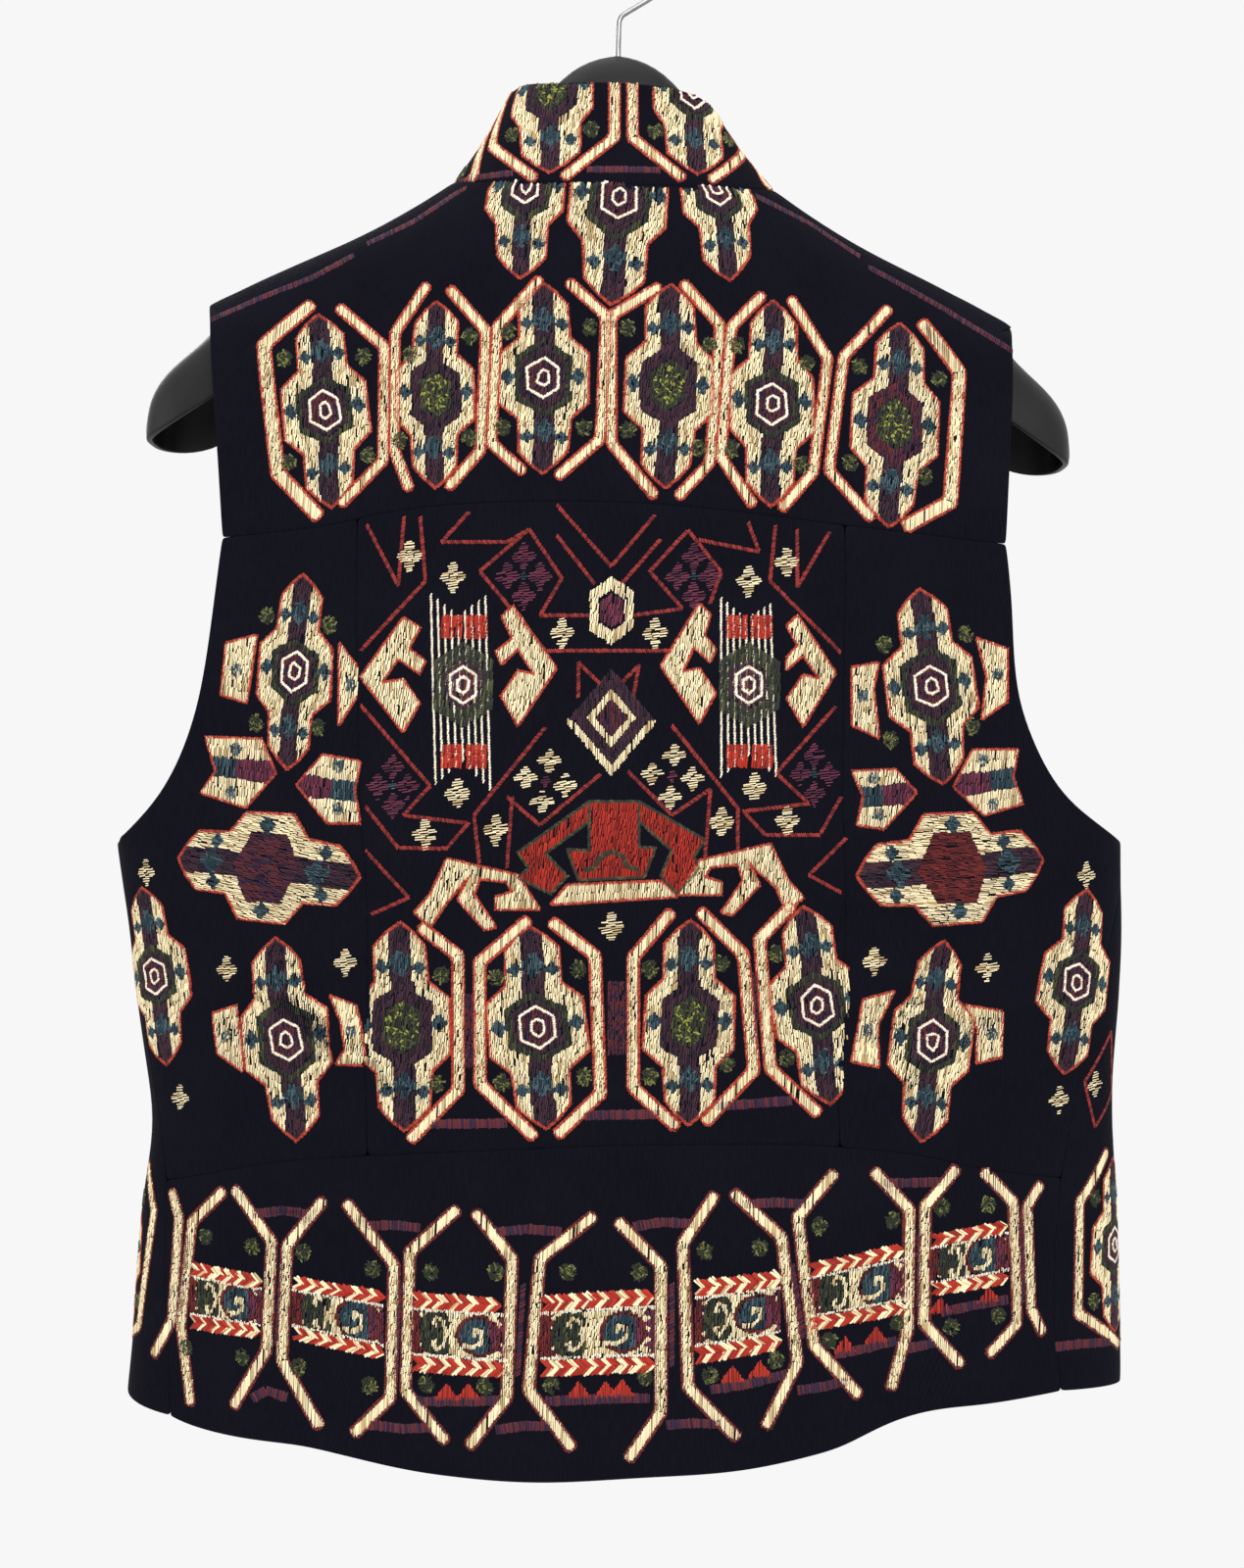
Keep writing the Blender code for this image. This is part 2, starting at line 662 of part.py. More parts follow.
def hanger_stations():
    """The sections of one arm. Under the shoulders they stand at the cloth's own rows."""
    stations = [list(row) for row in HANGER]
    for row in range(ROWS[0]):
        height = NECK_AT_SIDE + row / ROWS[0] * (SHOULDER_END - NECK_AT_SIDE)
        out = float(ring("half", height))
        if SEAT_FROM <= out <= SEAT_TO:
            lean = math.atan2(2.0, float(ring("half", height - 1.0) - ring("half", height + 1.0)))
            crest = height - (CLOTH_THICK / 2 + SEAT_GAP) / math.cos(lean)
            rest = [
                float(smooth_read(HANGER, HANGER_COLUMNS, name, out, "out"))
                for name in HANGER_COLUMNS[2:]
            ]
            stations.append([out, crest, *rest])
    return np.array(sorted(stations))


def hanger_section(out, crest, deep, back_rim, front_rim):
    """One arch of the hanger's shell, from the back rim over the crest to the front rim."""
    turn = np.linspace(-90, 90, HANGER_ARCH_POINTS + 1)
    sine = np.sin(np.radians(turn))
    cosine = np.cos(np.radians(turn))
    power = 2 / HANGER_ARCH_POWER
    y = -deep * np.sign(sine) * np.abs(sine) ** power
    rim = np.where(turn < 0, back_rim, front_rim)
    z = rim + (crest - rim) * np.abs(cosine) ** power
    sweep = SWEEP_FORWARD * (out / SWEEP_AT) ** 2
    return np.stack([np.full(len(turn), out), y - sweep, z], -1)


def hanger_body(material):
    """The moulded shell: an outer and an inner skin joined round the rim, open below."""
    arm = hanger_stations()
    both = np.concatenate([arm[:0:-1] * (-1, 1, 1, 1, 1), arm])
    solid = bmesh.new()
    skins = []
    for inward in (0.0, HANGER_WALL):
        skin = []
        for out, crest, deep, back_rim, front_rim in both:
            out -= np.sign(out) * inward * min(1.0, (abs(out) / SWEEP_AT) ** HANGER_END_POWER)
            inner_deep = max(deep - inward, HANGER_LEAST_DEEP)
            points = hanger_section(out, crest - inward, inner_deep, back_rim, front_rim)
            skin.append([solid.verts.new(Vector(p) * MM) for p in tilted(points)])
        skins.append(skin)
    stations = len(both)
    arch = HANGER_ARCH_POINTS
    for skin, turn in ((skins[0], 1), (skins[1], -1)):
        for s in range(stations - 1):
            for a in range(arch):
                corners = [skin[s][a], skin[s + 1][a], skin[s + 1][a + 1], skin[s][a + 1]]
                solid.faces.new(corners[::turn])
        solid.faces.new(skin[0][:: -turn])
        solid.faces.new(skin[-1][::turn])
    rim = [(s, 0) for s in range(stations)] + [(s, arch) for s in range(stations - 1, -1, -1)]
    for (s0, a0), (s1, a1) in zip(rim, rim[1:] + rim[:1]):
        solid.faces.new([skins[0][s0][a0], skins[0][s1][a1], skins[1][s1][a1], skins[1][s0][a0]])
    bmesh.ops.triangulate(solid, faces=solid.faces)
    bmesh.ops.recalc_face_normals(solid, faces=solid.faces)
    piece = new_object("hanger_body", solid, material)

    drill = bmesh.new()
    bmesh.ops.create_cone(
        drill,
        cap_ends=True,
        segments=12,
        radius1=HOOK_HOLE * MM,
        radius2=HOOK_HOLE * MM,
        depth=HOOK_HOLE_DEPTH * MM,
    )
    cutter = new_object("hook_hole_cutter", drill, material)
    cutter.location = tilted(np.array([0.0, 0.0, HANGER[0][1]])) * MM
    cutter.rotation_euler = (0, -HANG_TILT, 0)
    cutter.hide_render = True
    cutter.display_type = "WIRE"
    cut = piece.modifiers.new("hook_hole", "BOOLEAN")
    cut.operation = "DIFFERENCE"
    cut.object = cutter
    return piece


def hook_route():
    """The hook's middle line and its thickness, from its head inside the hanger to its tip."""
    route = []
    shell_inside = HANGER[0][1] - HANGER_WALL
    head_top = shell_inside - SEAT_GAP - HOOK_HEAD_DROP
    for height in (head_top - HOOK_HEAD_HIGH, head_top):
        route.append((0.0, height, HOOK_HEAD / HOOK_WIRE))
    route.append((0.0, head_top + HOOK_NECK_STEP, 1.0))
    # The shank turns into a straight run, which meets the round where it is tangent to it.
    centre = HOOK_WIRE - HOOK_RADIUS
    corner = centre - HOOK_RADIUS / math.cos(HOOK_LEAN)
    whole_turn = math.pi / 2 - HOOK_LEAN
    bend_start = corner - HOOK_BEND * math.tan(whole_turn / 2)
    route.append((0.0, (head_top + bend_start) / 2, 1.0))
    for step in range(HOOK_BEND_STEPS + 1):
        turn = step / HOOK_BEND_STEPS * whole_turn
        x = -HOOK_BEND * (1 - math.cos(turn))
        z = bend_start + HOOK_BEND * math.sin(turn)
        route.append((x, z, 1.0))
    start = math.pi + whole_turn
    for step in range(HOOK_TURNS + 1):
        angle = start + (HOOK_TIP_ANGLE - start) * step / HOOK_TURNS
        route.append((HOOK_RADIUS * math.cos(angle), centre + HOOK_RADIUS * math.sin(angle), 1.0))
    return route


def hanger_hook(material):
    """The bent wire with the upset head that keeps it in the hanger."""
    curve = bpy.data.curves.new("hanger_hook", "CURVE")
    curve.dimensions = "3D"
    curve.bevel_depth = HOOK_WIRE * MM
    curve.bevel_resolution = 2
    curve.use_fill_caps = True
    curve.materials.append(material)
    spline = curve.splines.new("POLY")
    route = hook_route()
    spline.points.add(len(route) - 1)
    for point, (x, z, thick) in zip(spline.points, route):
        place = tilted(np.array([x, 0.0, z])) * MM
        point.co = (*place, 1.0)
        point.radius = thick
    piece = bpy.data.objects.new("hanger_hook", curve)
    bpy.context.collection.objects.link(piece)
    return piece


def finish(name, colour, roughness, metallic):
    material = bpy.data.materials.new(name)
    material.use_nodes = True
    shader = material.node_tree.nodes["Principled BSDF"]
    shader.inputs["Base Color"].default_value = (*colour, 1.0)
    shader.inputs["Roughness"].default_value = roughness
    shader.inputs["Metallic"].default_value = metallic
    material.diffuse_color = (*colour, 1.0)
    return material


for leftover in list(bpy.data.objects):
    bpy.data.objects.remove(leftover, do_unlink=True)

angles, heights = back_grid()
yoke_rows = sum(ROWS[:3])
waist_rows = sum(ROWS[:5])
seam_left = BACK_COLUMNS[0]
seam_right = BACK_COLUMNS[0] + BACK_COLUMNS[1]
every = slice(None)
panels = {
    "back_yoke": (slice(0, yoke_rows + 1), every),
    "back_side_left": (slice(yoke_rows, waist_rows + 1), slice(0, seam_left + 1)),
    "back_centre": (slice(yoke_rows, waist_rows + 1), slice(seam_left, seam_right + 1)),
    "back_side_right": (slice(yoke_rows, waist_rows + 1), slice(seam_right, None)),
    "back_hem_band": (slice(waist_rows, None), every),
}
for panel, (rows, columns) in panels.items():
    cloth_panel(
        panel,
        angles[rows, columns],
        heights[rows, columns],
        finish(panel, (0.012, 0.012, 0.022), 0.85, 0.0),
        neck_row=0 if panel == "back_yoke" else None,
    )

neck_angles = [angles[0]]
for side, panel in ((1, "front_left"), (-1, "front_right")):
    front_angles, front_heights = front_grid(side, angles, heights)
    cloth_panel(
        panel,
        front_angles,
        front_heights,
        finish(panel, (0.012, 0.012, 0.022), 0.85, 0.0),
        neck_column=-1,
        closed=True,
    )
    around = front_angles[1 : ROWS[0] + 1, -1]
    neck_angles = [around[::-1], *neck_angles] if side > 0 else [*neck_angles, around]
collar(np.concatenate(neck_angles), finish("collar", (0.014, 0.013, 0.024), 0.85, 0.0))
hanger_body(finish("hanger_body", (0.015, 0.016, 0.015), 0.38, 0.0))
hanger_hook(finish("hanger_hook", (0.75, 0.75, 0.76), 0.12, 1.0))
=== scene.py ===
import math
from itertools import combinations, product

import bmesh
import bpy
import numpy as np
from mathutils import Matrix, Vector
from mathutils.bvhtree import BVHTree


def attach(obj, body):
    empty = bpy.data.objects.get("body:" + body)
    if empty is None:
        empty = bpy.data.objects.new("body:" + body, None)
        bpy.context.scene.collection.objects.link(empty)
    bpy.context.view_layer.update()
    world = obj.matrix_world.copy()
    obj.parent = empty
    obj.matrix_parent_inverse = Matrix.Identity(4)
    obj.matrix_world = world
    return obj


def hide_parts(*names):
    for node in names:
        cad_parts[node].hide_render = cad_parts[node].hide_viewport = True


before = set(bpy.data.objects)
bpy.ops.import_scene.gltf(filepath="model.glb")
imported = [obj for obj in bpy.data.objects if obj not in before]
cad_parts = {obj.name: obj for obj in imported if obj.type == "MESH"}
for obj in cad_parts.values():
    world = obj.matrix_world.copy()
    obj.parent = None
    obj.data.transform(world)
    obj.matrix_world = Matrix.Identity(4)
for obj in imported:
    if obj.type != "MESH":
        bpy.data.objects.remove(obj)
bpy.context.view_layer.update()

MM = 0.001

# The view: the vest hangs straight in front of the camera, its embroidered back towards it.
# The photo's scale is given at the garment's middle plane, and the camera stands square to it.
PHOTO_WIDTH = 1269
PHOTO_HEIGHT = 1600
MM_PER_PIXEL = 0.47
EYE = Vector((0.0, 1.1, -0.424))
SENSOR = 36.0

camera_data = bpy.data.cameras.new("camera")
camera_data.sensor_fit = "HORIZONTAL"
camera_data.sensor_width = SENSOR
camera_data.lens = SENSOR * EYE.y / (PHOTO_WIDTH * MM_PER_PIXEL * MM)
camera = bpy.data.objects.new("camera", camera_data)
camera.location = EYE
camera.rotation_euler = (math.radians(90), 0, math.radians(180))
bpy.context.scene.collection.objects.link(camera)
bpy.context.scene.camera = camera

# The studio: a plain pale floor well below the hem, a near-white surround,
# one broad light from above and in front of the embroidered side, and weak fills all round.
FLOOR_HEIGHT = -1.25
FLOOR_SIZE = 2.4
LIGHTS = (
    ("key", (-0.55, 1.9, 0.75), 1.5, 32.0),
    ("top", (0.3, 0.2, 1.3), 1.4, 10.0),
    ("side", (1.9, 0.8, 0.1), 1.2, 9.0),
    ("front_fill", (0.6, -2.0, 0.6), 1.6, 26.0),
)
LIT_POINT = Vector((0, 0, -0.45))
bpy.ops.mesh.primitive_plane_add(size=FLOOR_SIZE, location=(0, 0, FLOOR_HEIGHT))
floor = bpy.context.object
floor.name = "floor"
floor_paint = bpy.data.materials.new("floor_paint")
floor_paint.use_nodes = True
floor_shader = floor_paint.node_tree.nodes["Principled BSDF"]
floor_shader.inputs["Base Color"].default_value = (0.8, 0.8, 0.79, 1)
floor_shader.inputs["Roughness"].default_value = 0.9
floor.data.materials.append(floor_paint)

for light_name, place, size, power in LIGHTS:
    lamp = bpy.data.lights.new(light_name, "AREA")
    lamp.size = size
    lamp.energy = power
    lamp_object = bpy.data.objects.new(light_name, lamp)
    lamp_object.location = place
    aim = LIT_POINT - Vector(place)
    lamp_object.rotation_euler = aim.to_track_quat("-Z", "Y").to_euler()
    bpy.context.scene.collection.objects.link(lamp_object)

surround = bpy.data.worlds.new("surround")
surround.use_nodes = True
background = surround.node_tree.nodes["Background"]
background.inputs["Color"].default_value = (0.93, 0.93, 0.93, 1)
background.inputs["Strength"].default_value = 1.0
bpy.context.scene.world = surround
bpy.context.scene.view_settings.view_transform = "Standard"


# The cloth: ink-navy cotton twill, cut in panels and sewn edge to edge.
# Each panel is a thin shell on its solid's form, with the small creases that handling leaves.
# The table gives the size that each panel was cut to, in metres, and its area.
CLOTH_PANELS = {
    "back_yoke": ((0.375, 0.190), 0.0593),
    "back_centre": ((0.250, 0.300), 0.0643),
    "back_side_left": ((0.135, 0.305), 0.0303),
    "back_side_right": ((0.135, 0.305), 0.0322),
    "back_hem_band": ((0.470, 0.155), 0.0567),
    "front_left": ((0.315, 0.600), 0.137),
    "front_right": ((0.315, 0.600), 0.140),
    "collar": ((0.370, 0.062), 0.0203),
}
# Soft creases, in millimetres: side (1 back, -1 front), the middle's x and z, degrees from upright,
# how long and how wide they reach, and their depth, where + stands out.
CREASES = (
    (1, 128.0, -560.0, 58.0, 46.0, 7.0, -1.6),
    (1, 138.0, -540.0, 50.0, 52.0, 8.0, 1.8),
    (1, 146.0, -515.0, 46.0, 44.0, 6.0, -1.4),
    (1, -132.0, -500.0, -46.0, 60.0, 8.0, 2.0),
    (1, -140.0, -520.0, -52.0, 58.0, 7.0, -1.8),
    (1, -150.0, -545.0, -55.0, 40.0, 6.0, 1.4),
    (1, -118.0, -455.0, -38.0, 38.0, 7.0, -1.2),
    (1, 108.0, -430.0, 32.0, 45.0, 8.0, -1.2),
    (1, 148.0, -622.0, 80.0, 34.0, 6.0, 1.2),
    (1, 62.0, -628.0, 74.0, 42.0, 6.0, -1.2),
    (1, -70.0, -634.0, -70.0, 38.0, 6.0, 1.3),
    (1, -118.0, -624.0, -62.0, 36.0, 6.0, -1.3),
    (1, 30.0, -220.0, 82.0, 40.0, 7.0, -0.9),
    (1, -58.0, -226.0, -80.0, 36.0, 7.0, -0.8),
    (1, 152.0, -268.0, 12.0, 40.0, 7.0, -1.2),
    (1, -152.0, -268.0, -14.0, 40.0, 7.0, -1.2),
    (-1, 150.0, -505.0, 52.0, 60.0, 8.0, -1.8),
    (-1, 136.0, -530.0, 48.0, 52.0, 8.0, 1.8),
    (-1, -142.0, -520.0, -50.0, 62.0, 8.0, 2.0),
    (-1, -150.0, -548.0, -56.0, 46.0, 7.0, -1.7),
    (-1, 92.0, -610.0, 76.0, 50.0, 7.0, -1.4),
    (-1, -88.0, -618.0, -70.0, 44.0, 7.0, 1.4),
    (-1, 104.0, -280.0, 24.0, 60.0, 9.0, -1.6),
    (-1, -108.0, -286.0, -26.0, 56.0, 9.0, -1.5),
    (-1, 60.0, -420.0, 40.0, 48.0, 8.0, -1.2),
    (-1, -54.0, -440.0, -36.0, 46.0, 8.0, 1.2),
)
CREASES_BELOW = -205.0
CREASE_FADE = 20.0
CREASE_BOW = 0.12
# Panels are drawn out by SEAM_CLOSING so that they touch in the seams' grooves.
RIM_ANGLE = math.radians(60)
RIM_ROUND = 0.6
SMOOTH_LEVELS = 2
SEAM_CLOSING = 0.2
# The hung cloth seen from above is a rounded ring: half its width, half its depth, and its roundness.
RING_HALF = 240.0
RING_DEEP = 57.0
RING_POWER = 2.5
TRIS_ANGLE = math.radians(50)


def alone(piece):
    """This object selected and active, and no other."""
    bpy.ops.object.select_all(action="DESELECT")
    piece.select_set(True)
    bpy.context.view_layer.objects.active = piece


def node_copy(node, name):
    """A copy of a node's solid with its loose triangles merged and joined to quads."""
    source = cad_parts[node]
    piece = bpy.data.objects.new(name, source.data.copy())
    bpy.context.scene.collection.objects.link(piece)
    piece.data.materials.clear()
    alone(piece)
    bpy.ops.object.mode_set(mode="EDIT")
    bpy.ops.mesh.select_all(action="SELECT")
    bpy.ops.mesh.remove_doubles(threshold=1e-5)
    bpy.ops.mesh.customdata_custom_splitnormals_clear()
    bpy.ops.mesh.tris_convert_to_quads(face_threshold=TRIS_ANGLE, shape_threshold=TRIS_ANGLE)
    bpy.ops.object.mode_set(mode="OBJECT")
    return piece


def flat_ring(half, deep, side, count):
    """A level line round the hung cloth, from the far side's middle back to it, and its running length."""
    turn = np.linspace(-math.pi, math.pi, count)
    power = 2 / RING_POWER
    x = half * np.sign(np.sin(turn)) * np.abs(np.sin(turn)) ** power
    y = side * deep * np.sign(np.cos(turn)) * np.abs(np.cos(turn)) ** power
    return x, y, np.concatenate([[0], np.cumsum(np.hypot(np.diff(x), np.diff(y)))])


def outwards(points):
    """The way out of the flat hollow form that the hanging cloth makes, at points in millimetres."""
    x = points[:, 0] / RING_HALF
    y = points[:, 1] / RING_DEEP
    way_x = np.sign(x) * np.abs(x) ** (RING_POWER - 1) / RING_HALF
    way_y = np.sign(y) * np.abs(y) ** (RING_POWER - 1) / RING_DEEP
    way = np.stack([way_x, way_y, np.zeros(len(x))], 1)
    return way / np.maximum(np.linalg.norm(way, axis=1, keepdims=True), 1e-9)


def creased(points):
    """How far the creases move the cloth at these points, in millimetres."""
    depth_here = np.zeros(len(points))
    below = np.clip((CREASES_BELOW - points[:, 2]) / CREASE_FADE, 0, 1)
    for side, x, z, turn, long, wide, depth in CREASES:
        cosine = math.cos(math.radians(turn))
        sine = math.sin(math.radians(turn))
        along = (points[:, 2] - z) * cosine + (points[:, 0] - x) * sine
        across = (points[:, 0] - x) * cosine - (points[:, 2] - z) * sine
        bent = across + CREASE_BOW * along * along / long
        share = np.exp(-((along / long) ** 2) - (bent / wide) ** 2)
        depth_here += np.where(points[:, 1] * side > -12, share * depth, 0)
    return depth_here * below


def cloth_shell(node):
    """A panel: its rims meet the next panel's and are rounded like turned edges, creases worked in."""
    piece = node_copy(node, node + "_cloth")
    mesh = piece.data
    edit = bmesh.new()
    edit.from_mesh(mesh)
    edit.normal_update()
    sharp = {
        edge for edge in edit.edges
        if len(edge.link_faces) == 2 and edge.calc_face_angle() > RIM_ANGLE
    }
    push = {}
    for face in edit.faces:
        rim_edges = [edge for edge in face.edges if edge in sharp]
        for one, other in combinations(rim_edges, 2):
            if not set(one.verts) & set(other.verts):
                for vert in face.verts:
                    push[vert] = push.get(vert, Vector()) + face.normal
                break
    for vert, way in push.items():
        if way.length > 0.1:
            vert.co += way.normalized() * SEAM_CLOSING * MM
    edit.to_mesh(mesh)
    edit.free()
    rims = piece.modifiers.new("rims", "BEVEL")
    rims.width = RIM_ROUND * MM
    rims.segments = 1
    rims.limit_method = "ANGLE"
    rims.angle_limit = RIM_ANGLE
    rims.use_clamp_overlap = False
    smooth = piece.modifiers.new("smooth", "SUBSURF")
    smooth.levels = SMOOTH_LEVELS
    smooth.render_levels = SMOOTH_LEVELS
    alone(piece)
    bpy.ops.object.modifier_apply(modifier="rims")
    bpy.ops.object.modifier_apply(modifier="smooth")
    count = len(mesh.vertices)
    flat = np.empty(count * 3)
    mesh.vertices.foreach_get("co", flat)
    points = flat.reshape(-1, 3) / MM
    if node != "collar":
        points += outwards(points) * creased(points)[:, None]
    mesh.vertices.foreach_set("co", (points * MM).ravel())
    mesh.shade_smooth()
    mesh.update()
    return piece


shells = {}
for node in CLOTH_PANELS:
    shells[node] = cloth_shell(node)


class Value:
    """A shader value or colour with arithmetic: each operator adds its node."""

    def __init__(self, look, socket):
        self.look = look
        self.socket = socket

    def math(self, operation, *others):
        return self.look.node("ShaderNodeMath", {"operation": operation}, dict(enumerate((self, *others))))

    def __add__(self, other):
        return self.math("ADD", other)

    __radd__ = __add__

    def __mul__(self, other):
        return self.math("MULTIPLY", other)

    __rmul__ = __mul__

    def __sub__(self, other):
        return self.math("SUBTRACT", other)

    def __rsub__(self, other):
        return self.math("MULTIPLY_ADD", -1.0, other)


class Look:
    """One material: its shader's constants, and one method for any node."""

    def __init__(self, name, **constants):
        self.material = bpy.data.materials.new(name)
        self.material.use_nodes = True
        self.tree = self.material.node_tree
        self.shader = self.tree.nodes["Principled BSDF"]
        for socket, value in constants.items():
            self.feed(self.shader.inputs[socket.replace("_", " ")], value)

    def feed(self, socket, value):
        if isinstance(value, Value):
            self.tree.links.new(value.socket, socket)
        else:
            socket.default_value = value

    def node(self, kind, settings, sockets, output=0):
        made = self.tree.nodes.new(kind)
        for setting, value in settings.items():
            setattr(made, setting, value)
        for socket, value in sockets.items():
            self.feed(made.inputs[socket], value)
        return Value(self, made.outputs[output])


COTTON_DARK = (0.0024, 0.0023, 0.0048, 1.0)
COTTON_LIGHT = (0.0072, 0.0070, 0.0128, 1.0)
RIB_PITCH = 1.35
MAP_POINTS = 721
twill = Look("navy_twill", Roughness=0.9, Sheen_Weight=0.008, Sheen_Roughness=0.4, Specular_IOR_Level=0.03)
place = twill.node("ShaderNodeUVMap", {"uv_map": "cut"}, {})
parts = twill.node("ShaderNodeSeparateXYZ", {}, {0: place})
across = Value(twill, parts.socket.node.outputs["X"])
upright = Value(twill, parts.socket.node.outputs["Y"])
drawn_out = twill.node("ShaderNodeVectorMath", {"operation": "MULTIPLY"}, {0: place, 1: (1.0, 0.12, 1.0)})
slub = twill.node("ShaderNodeTexNoise", {}, {"Vector": drawn_out, "Scale": 1100.0, "Detail": 2.0})
patches = twill.node("ShaderNodeTexNoise", {}, {"Vector": place, "Scale": 24.0, "Detail": 3.0})
rib = ((across + upright * 0.35) * (2 * math.pi / (RIB_PITCH * MM))).math("SINE")
shade = slub * 0.75 + patches * 0.5 + rib * 0.10 - 0.2
colour = twill.node(
    "ShaderNodeMix",
    {"data_type": "RGBA", "clamp_factor": True},
    {"Factor": shade, 6: COTTON_DARK, 7: COTTON_LIGHT},
    2,
)
twill.feed(twill.shader.inputs["Base Color"], colour)
bump = twill.node(
    "ShaderNodeBump", {}, {"Strength": 0.5, "Distance": 0.00022, "Height": rib * 0.5 + slub * 0.9}
)
twill.feed(twill.shader.inputs["Normal"], bump)


def girth_map(mesh, name):
    """A UV map in metres: round the body from the centre back, and height."""
    corner_verts = np.empty(len(mesh.loops), int)
    mesh.loops.foreach_get("vertex_index", corner_verts)
    flat = np.empty(len(mesh.vertices) * 3)
    mesh.vertices.foreach_get("co", flat)
    points = flat.reshape(-1, 3)
    ring_x, ring_y, length = flat_ring(RING_HALF * MM, RING_DEEP * MM, 1, MAP_POINTS)
    length -= length[len(length) // 2]
    polar = np.arctan2(ring_x, ring_y * RING_HALF / RING_DEEP)
    here = np.arctan2(points[:, 0], points[:, 1] * RING_HALF / RING_DEEP)
    girth = np.interp(here, polar, length)
    layer = mesh.uv_layers.new(name=name)
    uv = np.stack([girth, points[:, 2]], 1)[corner_verts]
    layer.data.foreach_set("uv", uv.ravel())


for node, (flat, area) in CLOTH_PANELS.items():
    panel = shells[node]
    girth_map(panel.data, "cut")
    panel.data.materials.append(twill.material)
    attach(panel, "root")
    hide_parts(node)


# The embroidery: wool and cotton yarn in long and short stitches, satin stitch and stem stitch,
# sewn through the twill. Each panel's work is one joined mesh of single stitches, laid at true size
# on a chart of the outer cloth: girth from the middle, and height, in millimetres.
CHART_STEP = 2.5
CHART_SPARE = 25.0
CHART_POINTS = 1441
OUTSIDE = 1.5
SEARCH_PIXELS = 3
SEARCH = sorted(product(range(12), range(36)), key=lambda step: 3 * step[0] + step[1])
YARN_WIDE = 0.76
YARN_HIGH = 0.42
YARN_PITCH = 0.80
YARN_SLANT = -0.10
YARN_MISSED = 0.03
LONGEST = 5.0
STITCH_SUNK = -0.12
STITCH_TAPER = 0.16
LEVEL_STEP = 0.5
SHORTEST = 0.8
LEAST_SPAN = 0.5
# How unevenly the rows are sewn: between columns, where stitches join, at a motif's edge, and sideways.
COLUMN_DRIFT = 0.05
JOINT_DRIFT = 0.13
END_DRIFT = 0.22
SIDE_DRIFT = 0.12
# Where the cloth jumps, as at the collar's open ends, a chart's step counts no longer than this.
LONGEST_STEP = 2.0
# Yarn colours: the main shade, the fleck shade, and how many stitches are flecks.
YARNS = {
    "cream": ((0.86, 0.73, 0.46), (0.52, 0.38, 0.19), 0.22),
    "white": ((0.88, 0.80, 0.64), (0.74, 0.62, 0.46), 0.25),
    "red": ((0.38, 0.050, 0.026), (0.22, 0.024, 0.016), 0.35),
    "bright_red": ((0.40, 0.028, 0.014), (0.24, 0.018, 0.012), 0.35),
    "stem_red": ((0.270, 0.030, 0.024), (0.135, 0.016, 0.016), 0.40),
    "brick": ((0.150, 0.019, 0.017), (0.070, 0.012, 0.014), 0.40),
    "maroon": ((0.100, 0.020, 0.026), (0.032, 0.014, 0.036), 0.45),
    "purple": ((0.052, 0.020, 0.032), (0.022, 0.011, 0.020), 0.40),
    "plum": ((0.150, 0.030, 0.056), (0.075, 0.018, 0.036), 0.40),
    "green": ((0.026, 0.029, 0.021), (0.062, 0.072, 0.028), 0.22),
    "olive": ((0.022, 0.027, 0.014), (0.165, 0.168, 0.048), 0.20),
    "lime": ((0.060, 0.066, 0.022), (0.300, 0.300, 0.050), 0.34),
    "teal": ((0.020, 0.042, 0.056), (0.058, 0.100, 0.118), 0.34),
}
YARN_NAMES = list(YARNS)
BARE = -1


def yarn_numbers(*names):
    return [YARN_NAMES.index(name) for name in names]


def closed(outline):
    return np.concatenate([outline, outline[:1]])


